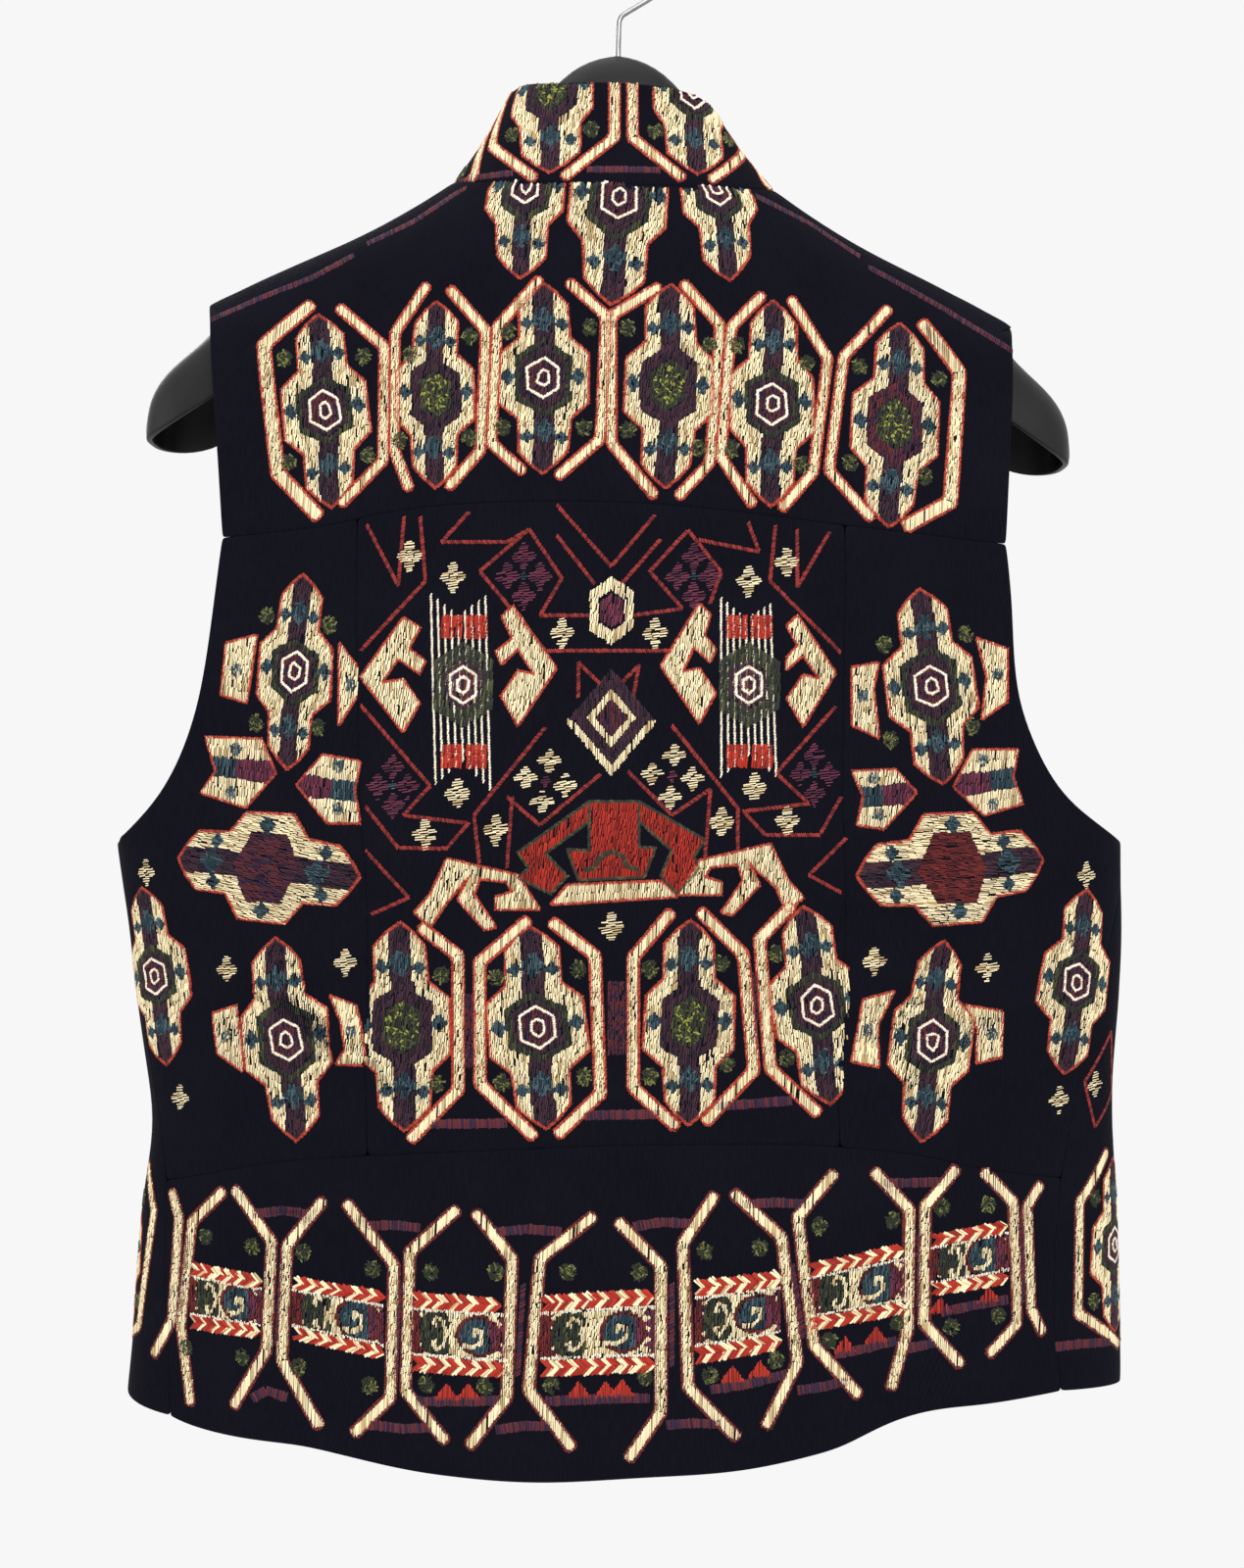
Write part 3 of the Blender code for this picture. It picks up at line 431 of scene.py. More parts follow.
class Chart:
    """The outer face of some shells, laid out flat. side: 1 starts at the centre back, -1 at the front."""

    def __init__(self, nodes, side, half, deep, top, foot, step=CHART_STEP, kept=1000.0):
        self.side = side
        self.step = step
        self.kept = kept
        self.nodes = list(nodes)
        self.top = top
        self.heights = np.arange(top, foot, -step)
        ring_x, ring_y, length = flat_ring(half, deep, side, CHART_POINTS)
        even = np.linspace(0, length[-1], 2 * int(length[-1] / 2 / step) + 1)
        ring = np.stack([np.interp(even, length, ring_x), np.interp(even, length, ring_y)], 1)
        reach = 0.5 * length[-1] + CHART_SPARE
        self.girths = np.arange(-reach, reach + step, step)
        self.lay_out(*self.cast(ring))

    def cast(self, ring):
        """Where rays from outside the ring meet the cloth at each height, and on which node."""
        verts = []
        faces = []
        owners = []
        for index, node in enumerate(self.nodes):
            mesh = shells[node].data
            first = len(verts)
            verts += [vert.co for vert in mesh.vertices]
            faces += [[first + corner for corner in face.vertices] for face in mesh.polygons]
            owners += [index] * len(mesh.polygons)
        self.tree = BVHTree.FromPolygons(verts, faces)
        ways = outwards(np.column_stack([ring, np.zeros(len(ring))]))
        hits = np.full((len(self.heights), len(ring), 2), np.nan)
        who = np.full(hits.shape[:2], BARE)
        for row, height in enumerate(self.heights):
            for k, (x, y) in enumerate(ring):
                start = Vector((OUTSIDE * x, OUTSIDE * y, height)) * MM
                way = Vector((-x, -y, 0)).normalized()
                hit, normal, face, _ = self.tree.ray_cast(start, way, OUTSIDE * math.hypot(x, y) * MM)
                if hit is not None and normal.dot(ways[k]) > 0.1:
                    hits[row, k] = hit.x / MM, hit.y / MM
                    who[row, k] = owners[face]
        rows = np.arange(len(self.heights))
        for k in range(len(ring)):
            known = ~np.isnan(hits[:, k, 0])
            for axis in (0, 1):
                if known.any():
                    hits[:, k, axis] = np.interp(rows, rows[known], hits[known, k, axis])
                else:
                    hits[:, k, axis] = ring[k, axis]
        return hits, who

    def lay_out(self, hits, who):
        """Measure along the cloth from the middle at each height, and read it off at even girths."""
        shape = (len(self.heights), len(self.girths))
        self.points = np.zeros((*shape, 3))
        self.owner = np.full(shape, BARE)
        middle = hits.shape[1] // 2
        for row, height in enumerate(self.heights):
            steps = np.minimum(np.hypot(*np.diff(hits[row], axis=0).T), LONGEST_STEP * self.step)
            along = np.concatenate([[0], np.cumsum(steps)])
            along -= along[middle]
            for axis in (0, 1):
                self.points[row, :, axis] = np.interp(self.girths, along, hits[row, :, axis])
            self.points[row, :, 2] = height
            nearest = np.clip(np.searchsorted(along, self.girths), 0, hits.shape[1] - 1)
            inside = (self.girths >= along[0]) & (self.girths <= along[-1])
            self.owner[row] = np.where(inside, who[row, nearest], BARE)
        down, around = np.gradient(self.points, axis=(0, 1))
        normal = np.cross(around, down) * self.side
        self.normals = normal / np.maximum(np.linalg.norm(normal, axis=2, keepdims=True), 1e-9)

    def read(self, table, girth, height):
        """A table of the chart between its rows and columns."""
        row = np.clip((self.top - height) / self.step, 0, len(self.heights) - 1.001)
        column = np.clip((girth - self.girths[0]) / self.step, 0, len(self.girths) - 1.001)
        r = row.astype(int)
        c = column.astype(int)
        fr = (row - r)[:, None]
        fc = (column - c)[:, None]
        upper = table[r, c] * (1 - fc) + table[r, c + 1] * fc
        lower = table[r + 1, c] * (1 - fc) + table[r + 1, c + 1] * fc
        return upper * (1 - fr) + lower * fr

    def on(self, girth, height, nodes):
        """Which places lie on the cloth of these nodes, no further round than is kept."""
        row = np.clip(np.round((self.top - height) / self.step), 0, len(self.heights) - 1)
        column = np.clip(np.round((girth - self.girths[0]) / self.step), 0, len(self.girths) - 1)
        wanted = [self.nodes.index(node) for node in nodes]
        found = np.isin(self.owner[row.astype(int), column.astype(int)], wanted)
        return found & (np.abs(girth) < self.kept)

    def seen(self, px, py):
        """The chart's place for a photo pixel. One beside the cloth is set out from the nearest on it."""
        eye = Vector((EYE.x, self.side * EYE.y, EYE.z))
        inwards = SEARCH_PIXELS if px < PHOTO_WIDTH / 2 else -SEARCH_PIXELS
        for aside, below in SEARCH:
            across = self.side * (PHOTO_WIDTH / 2 - px - aside * inwards) * MM_PER_PIXEL * MM
            up = (PHOTO_HEIGHT / 2 - py - below * SEARCH_PIXELS) * MM_PER_PIXEL * MM
            hit = self.tree.ray_cast(eye, Vector((across, -eye.y, up)).normalized())[0]
            if hit is not None:
                break
        spot = np.array(hit) / MM
        row = min(max(int(round((self.top - spot[2]) / self.step)), 0), len(self.heights) - 1)
        apart = np.hypot(self.points[row, :, 0] - spot[0], self.points[row, :, 1] - spot[1])
        girth = self.girths[int(np.argmin(apart))] + self.side * aside * inwards * MM_PER_PIXEL
        return np.array([girth, spot[2] + below * SEARCH_PIXELS * MM_PER_PIXEL])

    def seen_all(self, pixels):
        return np.array([self.seen(px, py) for px, py in pixels])


class Needlework:
    """The stitches of one panel's embroidery, gathered and then made as one joined mesh."""

    def __init__(self, name, chart, nodes, seed):
        self.name = name
        self.chart = chart
        self.nodes = nodes
        self.chance = np.random.default_rng(seed)
        self.starts = []
        self.ends = []
        self.yarns = []
        self.widths = []
        self.lifts = []

    def lay(self, starts, ends, yarns, wide, lift=0.0):
        starts = np.asarray(starts, float).reshape(-1, 2)
        self.starts.append(starts)
        self.ends.append(np.asarray(ends, float).reshape(-1, 2))
        self.yarns.append(np.broadcast_to(np.asarray(yarns, int), len(starts)))
        self.widths.append(np.full(len(starts), float(wide)))
        self.lifts.append(np.full(len(starts), float(lift)))

    def fill(self, centre, box, region, turn=0.0, slant=YARN_SLANT, longest=LONGEST, lift=0.0,
             pitch=YARN_PITCH, yarn_wide=YARN_WIDE):
        """Rows of long and short stitches. region gives each place of the motif its yarn, or BARE."""
        left, foot, right, top = box
        columns = np.arange(left, right, pitch)
        columns = columns + self.chance.normal(0, COLUMN_DRIFT, len(columns))
        levels = np.arange(foot, top + LEVEL_STEP, LEVEL_STEP)
        a, b = np.meshgrid(columns, levels, indexing="ij")
        yarns = region(a, b)
        starts = []
        ends = []
        kinds = []
        for column, line in zip(columns, yarns):
            cuts = np.concatenate([[0], np.flatnonzero(np.diff(line)) + 1, [len(line)]])
            for low, high in zip(cuts[:-1], cuts[1:]):
                length = (high - low) * LEVEL_STEP
                if line[low] == BARE or length < SHORTEST:
                    continue
                count = max(1, int(round(length / (longest * self.chance.uniform(0.75, 1.1)))))
                share = np.arange(count + 1) / count
                share[1:-1] += self.chance.normal(0, JOINT_DRIFT, count - 1) / count
                marks = levels[low] - LEVEL_STEP / 2 + share * length
                slack = np.where(self.chance.random(count) < 0.18, 0.5, -0.15)
                reach = self.chance.normal(0, END_DRIFT, (2, count))
                lower = marks[:-1] + slack + reach[0] * (share[:-1] == 0)
                upper = marks[1:] + 0.15 + reach[1] * (share[1:] == 1)
                wander = self.chance.normal(0, SIDE_DRIFT, (2, count))
                lean = slant * (upper - lower)
                kept = self.chance.random(count) > YARN_MISSED
                starts.append(np.stack([column + wander[0] - lean / 2, lower], 1)[kept])
                ends.append(np.stack([column + wander[1] + lean / 2, upper], 1)[kept])
                kinds.append(np.full(kept.sum(), line[low]))
        if not starts:
            return
        starts = turned(np.concatenate(starts), centre, turn)
        ends = turned(np.concatenate(ends), centre, turn)
        self.lay(starts, ends, np.concatenate(kinds), yarn_wide, lift)

    def knots(self, centre, half, yarn, count, size=2.0, lift=0.15):
        """Short stitches in all directions, crowded together in an oval."""
        turn = self.chance.uniform(0, 2 * math.pi, (2, count))
        out = np.sqrt(self.chance.uniform(0, 1, count))
        at = np.stack([half[0] * out * np.cos(turn[0]), half[1] * out * np.sin(turn[0])], 1) + centre
        reach = np.stack([np.cos(turn[1]), np.sin(turn[1])], 1) * size / 2
        self.lay(at - reach, at + reach, YARN_NAMES.index(yarn), 0.8, lift)

    def row(self, path, yarn, wide=1.7, lean=50.0, pitch=0.85, yarn_wide=0.95, lift=0.0):
        """Stitches set side by side along a line: lean 90 is satin, less is a rope-like stem stitch."""
        path = np.asarray(path, float)
        steps = np.hypot(*np.diff(path, axis=0).T)
        along = np.concatenate([[0], np.cumsum(steps)])
        count = max(2, int(along[-1] / pitch))
        at = (np.arange(count) + 0.5) / count * along[-1]
        middle = np.stack([np.interp(at, along, path[:, 0]), np.interp(at, along, path[:, 1])], 1)
        leg = np.clip(np.searchsorted(along, at) - 1, 0, len(steps) - 1)
        way = np.diff(path, axis=0)[leg] / np.maximum(steps[leg], 1e-9)[:, None]
        side = np.stack([-way[:, 1], way[:, 0]], 1)
        slope = math.radians(lean)
        reach = wide / 2 / math.sin(slope) * self.chance.uniform(0.88, 1.12, (count, 1))
        half = (way * math.cos(slope) + side * math.sin(slope)) * reach
        middle = middle + self.chance.normal(0, 0.07, (count, 2))
        self.lay(middle - half, middle + half, YARN_NAMES.index(yarn), yarn_wide, lift)

    def shape(self, outline, yarn, edge=None, edge_wide=1.5, **how):
        """A filled shape with a stem-stitch edge."""
        outline = np.asarray(outline, float)
        index = YARN_NAMES.index(yarn)
        box = (*outline.min(0), *outline.max(0))
        self.fill((0.0, 0.0), box, lambda a, b: np.where(within(a, b, outline), index, BARE), **how)
        if edge:
            self.row(closed(outline), edge, edge_wide)

    def trimmed(self):
        """All the stitches that lie on the cloth, their tips pulled in where these reach past its edge."""
        columns = (self.starts, self.ends, self.yarns, self.widths, self.lifts)
        stitches = [np.concatenate(column) for column in columns]
        starts, ends = stitches[:2]
        middle = (starts + ends) / 2
        for _ in range(3):
            for tips in (starts, ends):
                off = ~self.chart.on(*tips.T, self.nodes)
                tips[off] = (tips[off] + middle[off]) / 2
        keep = self.chart.on(*middle.T, self.nodes) & (np.hypot(*(ends - starts).T) > LEAST_SPAN)
        return [column[keep] for column in stitches]

    def make(self):
        """One joined mesh: each stitch is a small ridged roof, narrow at both ends."""
        starts, ends, yarns, widths, lifts = self.trimmed()
        count = len(starts)
        span = ends - starts
        corners = []
        for share, out, lift in (
            (0.0, -0.5, STITCH_SUNK), (0.0, 0.5, STITCH_SUNK),
            (1.0, 0.5, STITCH_SUNK), (1.0, -0.5, STITCH_SUNK),
            (STITCH_TAPER, 0.0, YARN_HIGH), (1 - STITCH_TAPER, 0.0, YARN_HIGH),
        ):
            flat = starts + span * share
            spot = self.chart.read(self.chart.points, *flat.T)
            normal = self.chart.read(self.chart.normals, *flat.T)
            corners.append((spot, normal, out, lift))
        way = corners[2][0] - corners[0][0]
        sizes = widths * self.chance.uniform(0.85, 1.08, count)
        verts = np.zeros((count, 6, 3))
        for index, (spot, normal, out, lift) in enumerate(corners):
            side = np.cross(normal, way)
            side /= np.maximum(np.linalg.norm(side, axis=1, keepdims=True), 1e-9)
            verts[:, index] = spot + side * out * sizes[:, None] + normal * (lift + lifts)[:, None]
        faces = np.array([(0, 4, 5), (0, 5, 3), (1, 2, 5), (1, 5, 4), (0, 1, 4), (2, 3, 5)])
        loops = (np.arange(count)[:, None, None] * 6 + faces[None]).reshape(-1)
        mesh = bpy.data.meshes.new(self.name)
        mesh.vertices.add(count * 6)
        mesh.vertices.foreach_set("co", (verts * MM).ravel())
        mesh.loops.add(len(loops))
        mesh.loops.foreach_set("vertex_index", loops)
        mesh.polygons.add(count * 6)
        mesh.polygons.foreach_set("loop_start", np.arange(0, len(loops), 3))
        shades, flecks, often = (np.array(column)[yarns] for column in zip(*YARNS.values()))
        colour = np.where((self.chance.random(count) < often)[:, None], flecks, shades)
        colour = colour * self.chance.uniform(0.84, 1.12, (count, 1))
        layer = mesh.attributes.new("yarn", "FLOAT_COLOR", "FACE")
        full = np.repeat(np.column_stack([colour, np.ones(count)]), 6, axis=0)
        layer.data.foreach_set("color", full.ravel())
        mesh.update(calc_edges=True)
        mesh.shade_smooth()
        mesh.materials.append(yarn_look.material)
        piece = bpy.data.objects.new(self.name, mesh)
        bpy.context.scene.collection.objects.link(piece)
        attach(piece, "root")


def turned(points, centre, turn):
    """Motif places set down on the chart: turned by some degrees, then moved to the centre."""
    cosine = math.cos(math.radians(turn))
    sine = math.sin(math.radians(turn))
    points = np.asarray(points, float)
    x = points[:, 0] * cosine - points[:, 1] * sine
    y = points[:, 0] * sine + points[:, 1] * cosine
    return np.stack([x, y], 1) + np.asarray(centre)


def within(a, b, outline):
    """Which places lie inside a closed outline."""
    inside = np.zeros(np.shape(a), bool)
    x0, y0 = outline[-1]
    for x1, y1 in outline:
        if y0 != y1:
            crosses = (b < y0) != (b < y1)
            inside ^= crosses & (a < x0 + (b - y0) / (y1 - y0) * (x1 - x0))
        x0, y0 = x1, y1
    return inside


yarn_look = Look("embroidery_yarn", Roughness=0.75, Sheen_Weight=0.05, Specular_IOR_Level=0.18)
yarn_look.feed(
    yarn_look.shader.inputs["Base Color"],
    yarn_look.node("ShaderNodeAttribute", {"attribute_name": "yarn"}, {}),
)

# A medallion's half outline, from its upper tip to its lower tip, in shares of its half size.
MEDALLION_EDGE = (
    (0.0, 1.0), (0.27, 0.90), (0.50, 0.77), (0.52, 0.43), (0.98, 0.26),
    (1.0, -0.26), (0.54, -0.43), (0.50, -0.77), (0.26, -0.90), (0.0, -1.0),
)
# The small cross-shaped dots in it: across, up, half width, half height.
MEDALLION_DOTS = (
    (0.0, 0.61, 0.24, 0.125), (0.36, 0.57, 0.15, 0.065), (-0.36, 0.57, 0.15, 0.065),
    (0.0, -0.56, 0.24, 0.125), (0.36, -0.62, 0.15, 0.065), (-0.36, -0.62, 0.15, 0.065),
    (0.79, 0.02, 0.16, 0.085), (-0.79, 0.02, 0.16, 0.085),
)
# A medallion's core: ring yarn, heart yarn, whether it is an eye with white rings, and its height.
CORES = {
    "purple_eye": ("green", "plum", True, 0.42),
    "dark_eye": ("green", "green", True, 0.35),
    "purple_fleck": ("purple", "lime", False, 0.42),
    "dark_fleck": ("maroon", "lime", False, 0.42),
    "dark_net": ("maroon", "maroon", False, 0.36),
    "red_net": ("brick", "brick", False, 0.36),
}
# In shares of a medallion's half size: the heart of an eye and of a plain core, how wide its two
# surrounds are, and the dark stripe down its middle.
EYE_HEART = (0.36, 0.215)
PLAIN_HEART = (0.40, 0.26)
CORE_WIDE = (0.50, 0.64)
STRIPE_HALF = 0.235
# The white rings of an eye: half width and half height, and the yarn line's width in mm.
EYE_RINGS = ((0.34, 0.205, 1.0), (0.13, 0.085, 0.9))
# How far a medallion's sides sway, in mm, and how fast.
SWAY = 0.5
SWAY_RATES = (0.16, 0.2)
HEXAGON = ((0, 1), (1, 0.55), (1, -0.55), (0, -1), (-1, -0.55), (-1, 0.55), (0, 1))
TABLE_WAIST = 0.52
WAIST = 0.56


def pointed(x, y, half_wide, half_high):
    """Below 1 inside an upright hexagon with its points up and down."""
    across = np.abs(x) / half_wide
    return np.maximum(across, np.abs(y) / half_high + 0.45 * across)


def dotted(x, y, dots):
    """Inside one of the small crosses."""
    found = np.zeros(np.shape(x), bool)
    for at_x, at_y, wide, high in dots:
        across = np.abs(x - at_x) / wide
        up = np.abs(y - at_y) / high
        found |= (across + up < 1.05) | (np.minimum(across, up) < 0.3) & (np.maximum(across, up) < 1)
    return found


def medallion(work, centre, tip, wide, core, waist=WAIST):
    """The stepped lozenge that repeats all over: cream, with a dark stripe, core and dots."""
    reach = np.asarray(tip) - np.asarray(centre)
    tall = 2 * math.hypot(*reach)
    turn = math.degrees(math.atan2(reach[0], -reach[1]))
    ring, heart, eye, ring_high = CORES[core]
    name = YARN_NAMES.index
    drift = work.chance.uniform(0, 6.28, 2)
    edge = np.array(MEDALLION_EDGE)
    edge[:, 0] *= np.where(np.abs(edge[:, 0]) < 0.7, waist / TABLE_WAIST, 1)
    outline = np.concatenate([edge, edge[-2:0:-1] * (-1, 1)]) * (wide / 2, tall / 2)
    outline[:, 0] += SWAY * np.sin(outline[:, 1] * SWAY_RATES[0] + drift[0])
    dots = np.array(MEDALLION_DOTS)
    dots[:, 0] *= np.where(np.abs(dots[:, 0]) < 0.7, waist / TABLE_WAIST, 1)

    def region(a, b):
        x = (a - SWAY * np.sin(b * SWAY_RATES[0] + drift[0])) / (wide / 2)
        y = (b - SWAY * np.sin(a * SWAY_RATES[1] + drift[1])) / (tall / 2)
        picks = [
            ~within(a, b, outline),
            eye & (pointed(x, y, *EYE_HEART) < 1),
            (not eye) & (pointed(x, y, *PLAIN_HEART) < 1),
            pointed(x, y, CORE_WIDE[0], ring_high - 0.07) < 1,
            dotted(x, y, dots),
            pointed(x, y, CORE_WIDE[1], ring_high) < 1,
            np.abs(x) < STRIPE_HALF,
        ]
        yarns = [
            BARE, name("maroon"), name("green" if heart == "lime" else heart),
            name("purple" if eye else ring), name("teal"), name(ring), name("purple"),
        ]
        return np.select(picks, yarns, name("cream"))

    box = (-wide / 2 - 1, -tall / 2, wide / 2 + 1, tall / 2)
    work.fill(centre, box, region, turn=turn, longest=4.2)
    if eye:
        for share_wide, share_high, line in EYE_RINGS:
            ring_path = np.array(HEXAGON) * (share_wide * wide / 2, share_high * tall / 2)
            ring_path[:-1] += work.chance.normal(0, 0.30, (len(HEXAGON) - 1, 2))
            ring_path[-1] = ring_path[0]
            work.row(turned(ring_path, centre, turn), "white", line, lean=38.0, pitch=0.8, lift=0.2)
    elif heart == "lime":
        work.knots(centre, (0.36 * wide / 2, 0.22 * tall / 2), "lime", 90, 1.7, 0.2)
    for at_x, at_y, out, up in dots:
        at = turned([(at_x * wide / 2, at_y * tall / 2)], centre, turn)[0]
        work.knots(at, (out * wide / 2, up * tall / 2), "teal", 14 if out > 0.2 else 8, 2.0, 0.15)
    work.row(turned(closed(outline), centre, turn), "red", 1.6)


def thick_line(path, wide):
    """The outline of a line drawn with a broad pen, its corners mitred."""
    path = np.asarray(path, float)
    way = np.diff(path, axis=0)
    way /= np.hypot(*way.T)[:, None]
    side = np.stack([-way[:, 1], way[:, 0]], 1)
    corner = side[:-1] + side[1:]
    corner /= (corner * side[:-1]).sum(1, keepdims=True)
    offset = np.concatenate([side[:1], corner, side[-1:]]) * wide / 2
    return np.concatenate([path + offset, (path - offset)[::-1]])


CORNER_CUT = 1.1


def eased(outline):
    """A closed outline with its corners cut off, as needlework rounds them."""
    after = np.roll(outline, -1, axis=0)
    way = after - outline
    share = np.minimum(CORNER_CUT / np.maximum(np.hypot(*way.T)[:, None], 1e-9), 0.4)
    return np.stack([outline + way * share, after - way * share], 1).reshape(-1, 2)


def bar(work, path, wide=4.2, edge="red"):
    """A cream bracket edged in red: long and short stitches in its upright leg, satin in its arms."""
    path = np.asarray(path, float)
    outline = eased(thick_line(path, wide))
    cream = YARN_NAMES.index("cream")

    def leg_here(a, b):
        near = []
        for one, two in zip(path[:-1], path[1:]):
            way = two - one
            share = np.clip(((a - one[0]) * way[0] + (b - one[1]) * way[1]) / (way @ way), 0, 1)
            near.append(np.hypot(a - one[0] - share * way[0], b - one[1] - share * way[1]))
        steep = np.abs(np.diff(path, axis=0) @ (0, 1)) > 0.9 * np.hypot(*np.diff(path, axis=0).T)
        return steep[np.argmin(near, axis=0)]

    for upright, longest, slant, yarn_wide in ((True, 3.2, YARN_SLANT, 0.80), (False, 12.0, -0.04, 0.95)):
        work.fill(
            (0.0, 0.0), (*outline.min(0), *outline.max(0)),
            lambda a, b: np.where(within(a, b, outline) & (leg_here(a, b) == upright), cream, BARE),
            longest=longest, slant=slant, yarn_wide=yarn_wide,
        )
    work.row(closed(outline), edge, 1.5)


def blob(work, centre, half=(3.4, 3.7)):
    """A small round knot of dark green with lighter flecks."""
    work.knots(centre, half, "olive", 62, 2.1)


def placed(chart, work, rows, kind, **how):
    """Motifs of one kind at the photo pixels of a table's rows."""
    for px, py, *rest in rows:
        kind(work, chart.seen(px, py), *rest, **how)


def medallions(chart, work, rows):
    """Medallions from a table: both tips in photo pixels, a shift and the width in mm, and the core."""
    for top_x, top_y, tip_x, tip_y, shift, wide, core in rows:
        top = chart.seen(top_x, top_y)
        tip = chart.seen(tip_x, tip_y)
        across = np.array([shift, 0.0])
        medallion(work, (top + tip) / 2 + across, tip + across, wide, core)


def cut_medallions(chart, work, rows, waist):
    """Medallions that a seam cuts: middle and lower tip in photo pixels, width in mm, and core."""
    for mid_x, mid_y, tip_x, tip_y, wide, core in rows:
        tip = chart.seen(tip_x, tip_y)
        reach = (mid_x - tip_x, mid_y - tip_y)
        medallion(work, tip - np.array(reach) * MOTIF_SCALE, tip, wide, core, waist)


def satin_band(chart, work, pixels):
    """A band of upright maroon satin stitches along photo pixels."""
    work.row(chart.seen_all(pixels), "maroon", 4.6, lean=88.0, pitch=0.75)


# On the back panels one photo pixel is this many millimetres, to the photo's right and down.
MOTIF_SCALE = 0.448
BODY_NODES = [node for node in CLOTH_PANELS if node != "collar"]
# A chart's ring and the heights between which it lies, and after them its step if it is a finer one.
BODY_EXTENT = (RING_HALF, RING_DEEP, -137.0, -790.0)
back_chart = Chart(BODY_NODES, 1, *BODY_EXTENT)

# The yoke's work: a row of medallions between hexagonal brackets, with green knots in the corners,
# the tips of three medallions that the neck seam cuts off, and satin lines along the shoulders.
YOKE_MEDALLIONS = (
    (324, 321, 337, 518, -1.0, 40.5, "dark_eye"),
    (441, 308, 440, 498, -1.5, 36.4, "purple_fleck"),
    (559, 289, 555, 483, 1.0, 41.0, "purple_eye"),
    (683, 290, 678, 498, 0.0, 40.5, "purple_fleck"),
    (791, 307, 785, 517, 0.0, 39.0, "dark_eye"),
    (921, 330, 905, 538, 0.0, 41.0, "dark_fleck"),
)
NECK_MEDALLIONS = (
    (537, 184, 531, 284, 36.4, "purple_eye"),
    (633, 197, 625, 311, 45.0, "purple_eye"),
    (733, 184, 745, 286, 35.4, "purple_eye"),
)
YOKE_BARS = (
    ((318, 310), (271, 352), (281, 483), (325, 528)),
    ((345, 313), (391, 354), (390, 470), (349, 515)),
    ((438, 290), (402, 340), (402, 458), (419, 500)),
    ((456, 294), (497, 338), (492, 460), (455, 498)),
    ((552, 284), (506, 334), (502, 452), (537, 482)),
    ((577, 287), (617, 322), (611, 448), (570, 487)),
    ((671, 292), (626, 322), (625, 452), (667, 507)),
    ((696, 288), (736, 332), (726, 472), (692, 508)),
    ((778, 300), (745, 334), (736, 466), (766, 516)),
    ((808, 304), (842, 366), (832, 482), (797, 520)),
    ((908, 314), (862, 364), (848, 480), (888, 530)),
    ((938, 328), (979, 380), (970, 512), (922, 538)),
)
YOKE_KNOTS = (
    (288, 366), (373, 364), (297, 472), (375, 464), (419, 362), (480, 343), (406, 450), (478, 446),
    (520, 338), (599, 334), (512, 436), (596, 436), (641, 335), (722, 352), (641, 439), (713, 457),
    (753, 352), (823, 370), (747, 458), (817, 474), (877, 374), (958, 386), (867, 472), (945, 486),
)
SHOULDER_LINES = (
    ((211, 327), (262, 306), (315, 284), (363, 260)),
    ((372, 249), (420, 226), (474, 192)),
    ((772, 200), (826, 228), (879, 262)),
    ((884, 272), (960, 314), (1036, 359)),
)
yoke_work = Needlework("embroidery_yoke", back_chart, ["back_yoke"], 11)
medallions(back_chart, yoke_work, YOKE_MEDALLIONS)
cut_medallions(back_chart, yoke_work, NECK_MEDALLIONS, 0.63)
for path in YOKE_BARS:
    outer = path in (YOKE_BARS[0], YOKE_BARS[-1])
    bar(yoke_work, back_chart.seen_all(path), 6.0 if outer else 4.2)
placed(back_chart, yoke_work, YOKE_KNOTS, blob)
for path in SHOULDER_LINES:
    yoke_work.row(back_chart.seen_all(path), "maroon", 3.4, lean=86.0, pitch=0.8)
yoke_work.make()

# The centre back's work: red stem-stitch lines, cream hooks and flowers, two striped panels with
# dark hexagons, a diamond and a red arch, over a lower row of bracketed medallions.
STEM_LINES = (
    ((373, 535), (408, 598)),
    ((410, 527), (408, 598)),
    ((431, 527), (435, 593), (370, 664)),
    ((479, 522), (450, 553), (519, 553), (539, 540)),
    ((539, 540), (574, 590), (552, 628), (602, 628)),
    ((539, 540), (491, 583), (559, 664), (685, 664)),
    ((567, 515), (622, 578), (670, 525)),
    ((566, 546), (605, 596)),
    ((673, 550), (637, 595)),
    ((702, 541), (738, 583), (725, 616)),
    ((702, 541), (662, 583), (695, 621), (645, 628)),
    ((712, 551), (776, 563), (761, 533)),
    ((791, 536), (788, 593), (857, 666)),
    ((813, 540), (814, 599), (844, 543)),
    ((367, 719), (441, 802), (411, 832), (478, 840), (458, 866), (406, 865), (375, 823)),
    ((556, 742), (486, 832), (491, 881)),
    ((519, 813), (552, 842), (610, 790)),
    ((520, 813), (519, 886)),
    ((375, 868), (416, 916), (377, 933)),
    ((688, 740), (755, 825), (751, 868)),
    ((642, 787), (688, 832), (725, 805), (720, 878)),
    ((853, 721), (794, 789), (824, 820), (760, 828), (781, 852), (834, 852), (857, 813)),
    ((861, 855), (823, 893), (859, 911)),
    ((590, 712), (589, 676), (612, 698)),
    ((647, 711), (652, 679), (634, 696)),
)
SMALL_FLOWERS = (
    (419, 567), (462, 589), (765, 593), (803, 574), (573, 646), (668, 646),
    (469, 810), (769, 804), (504, 847), (736, 839), (436, 851), (805, 838), (624, 946),
)
BIG_FLOWERS = ((558, 797, 10.0), (687, 792, 6.0))
BIG_PETALS = ((0, 9.6), (9.2, 0), (0, -9.6), (-9.2, 0))
PURPLE_PETALS = ((0, 0.62), (0.6, 0), (0, -0.62), (-0.6, 0))
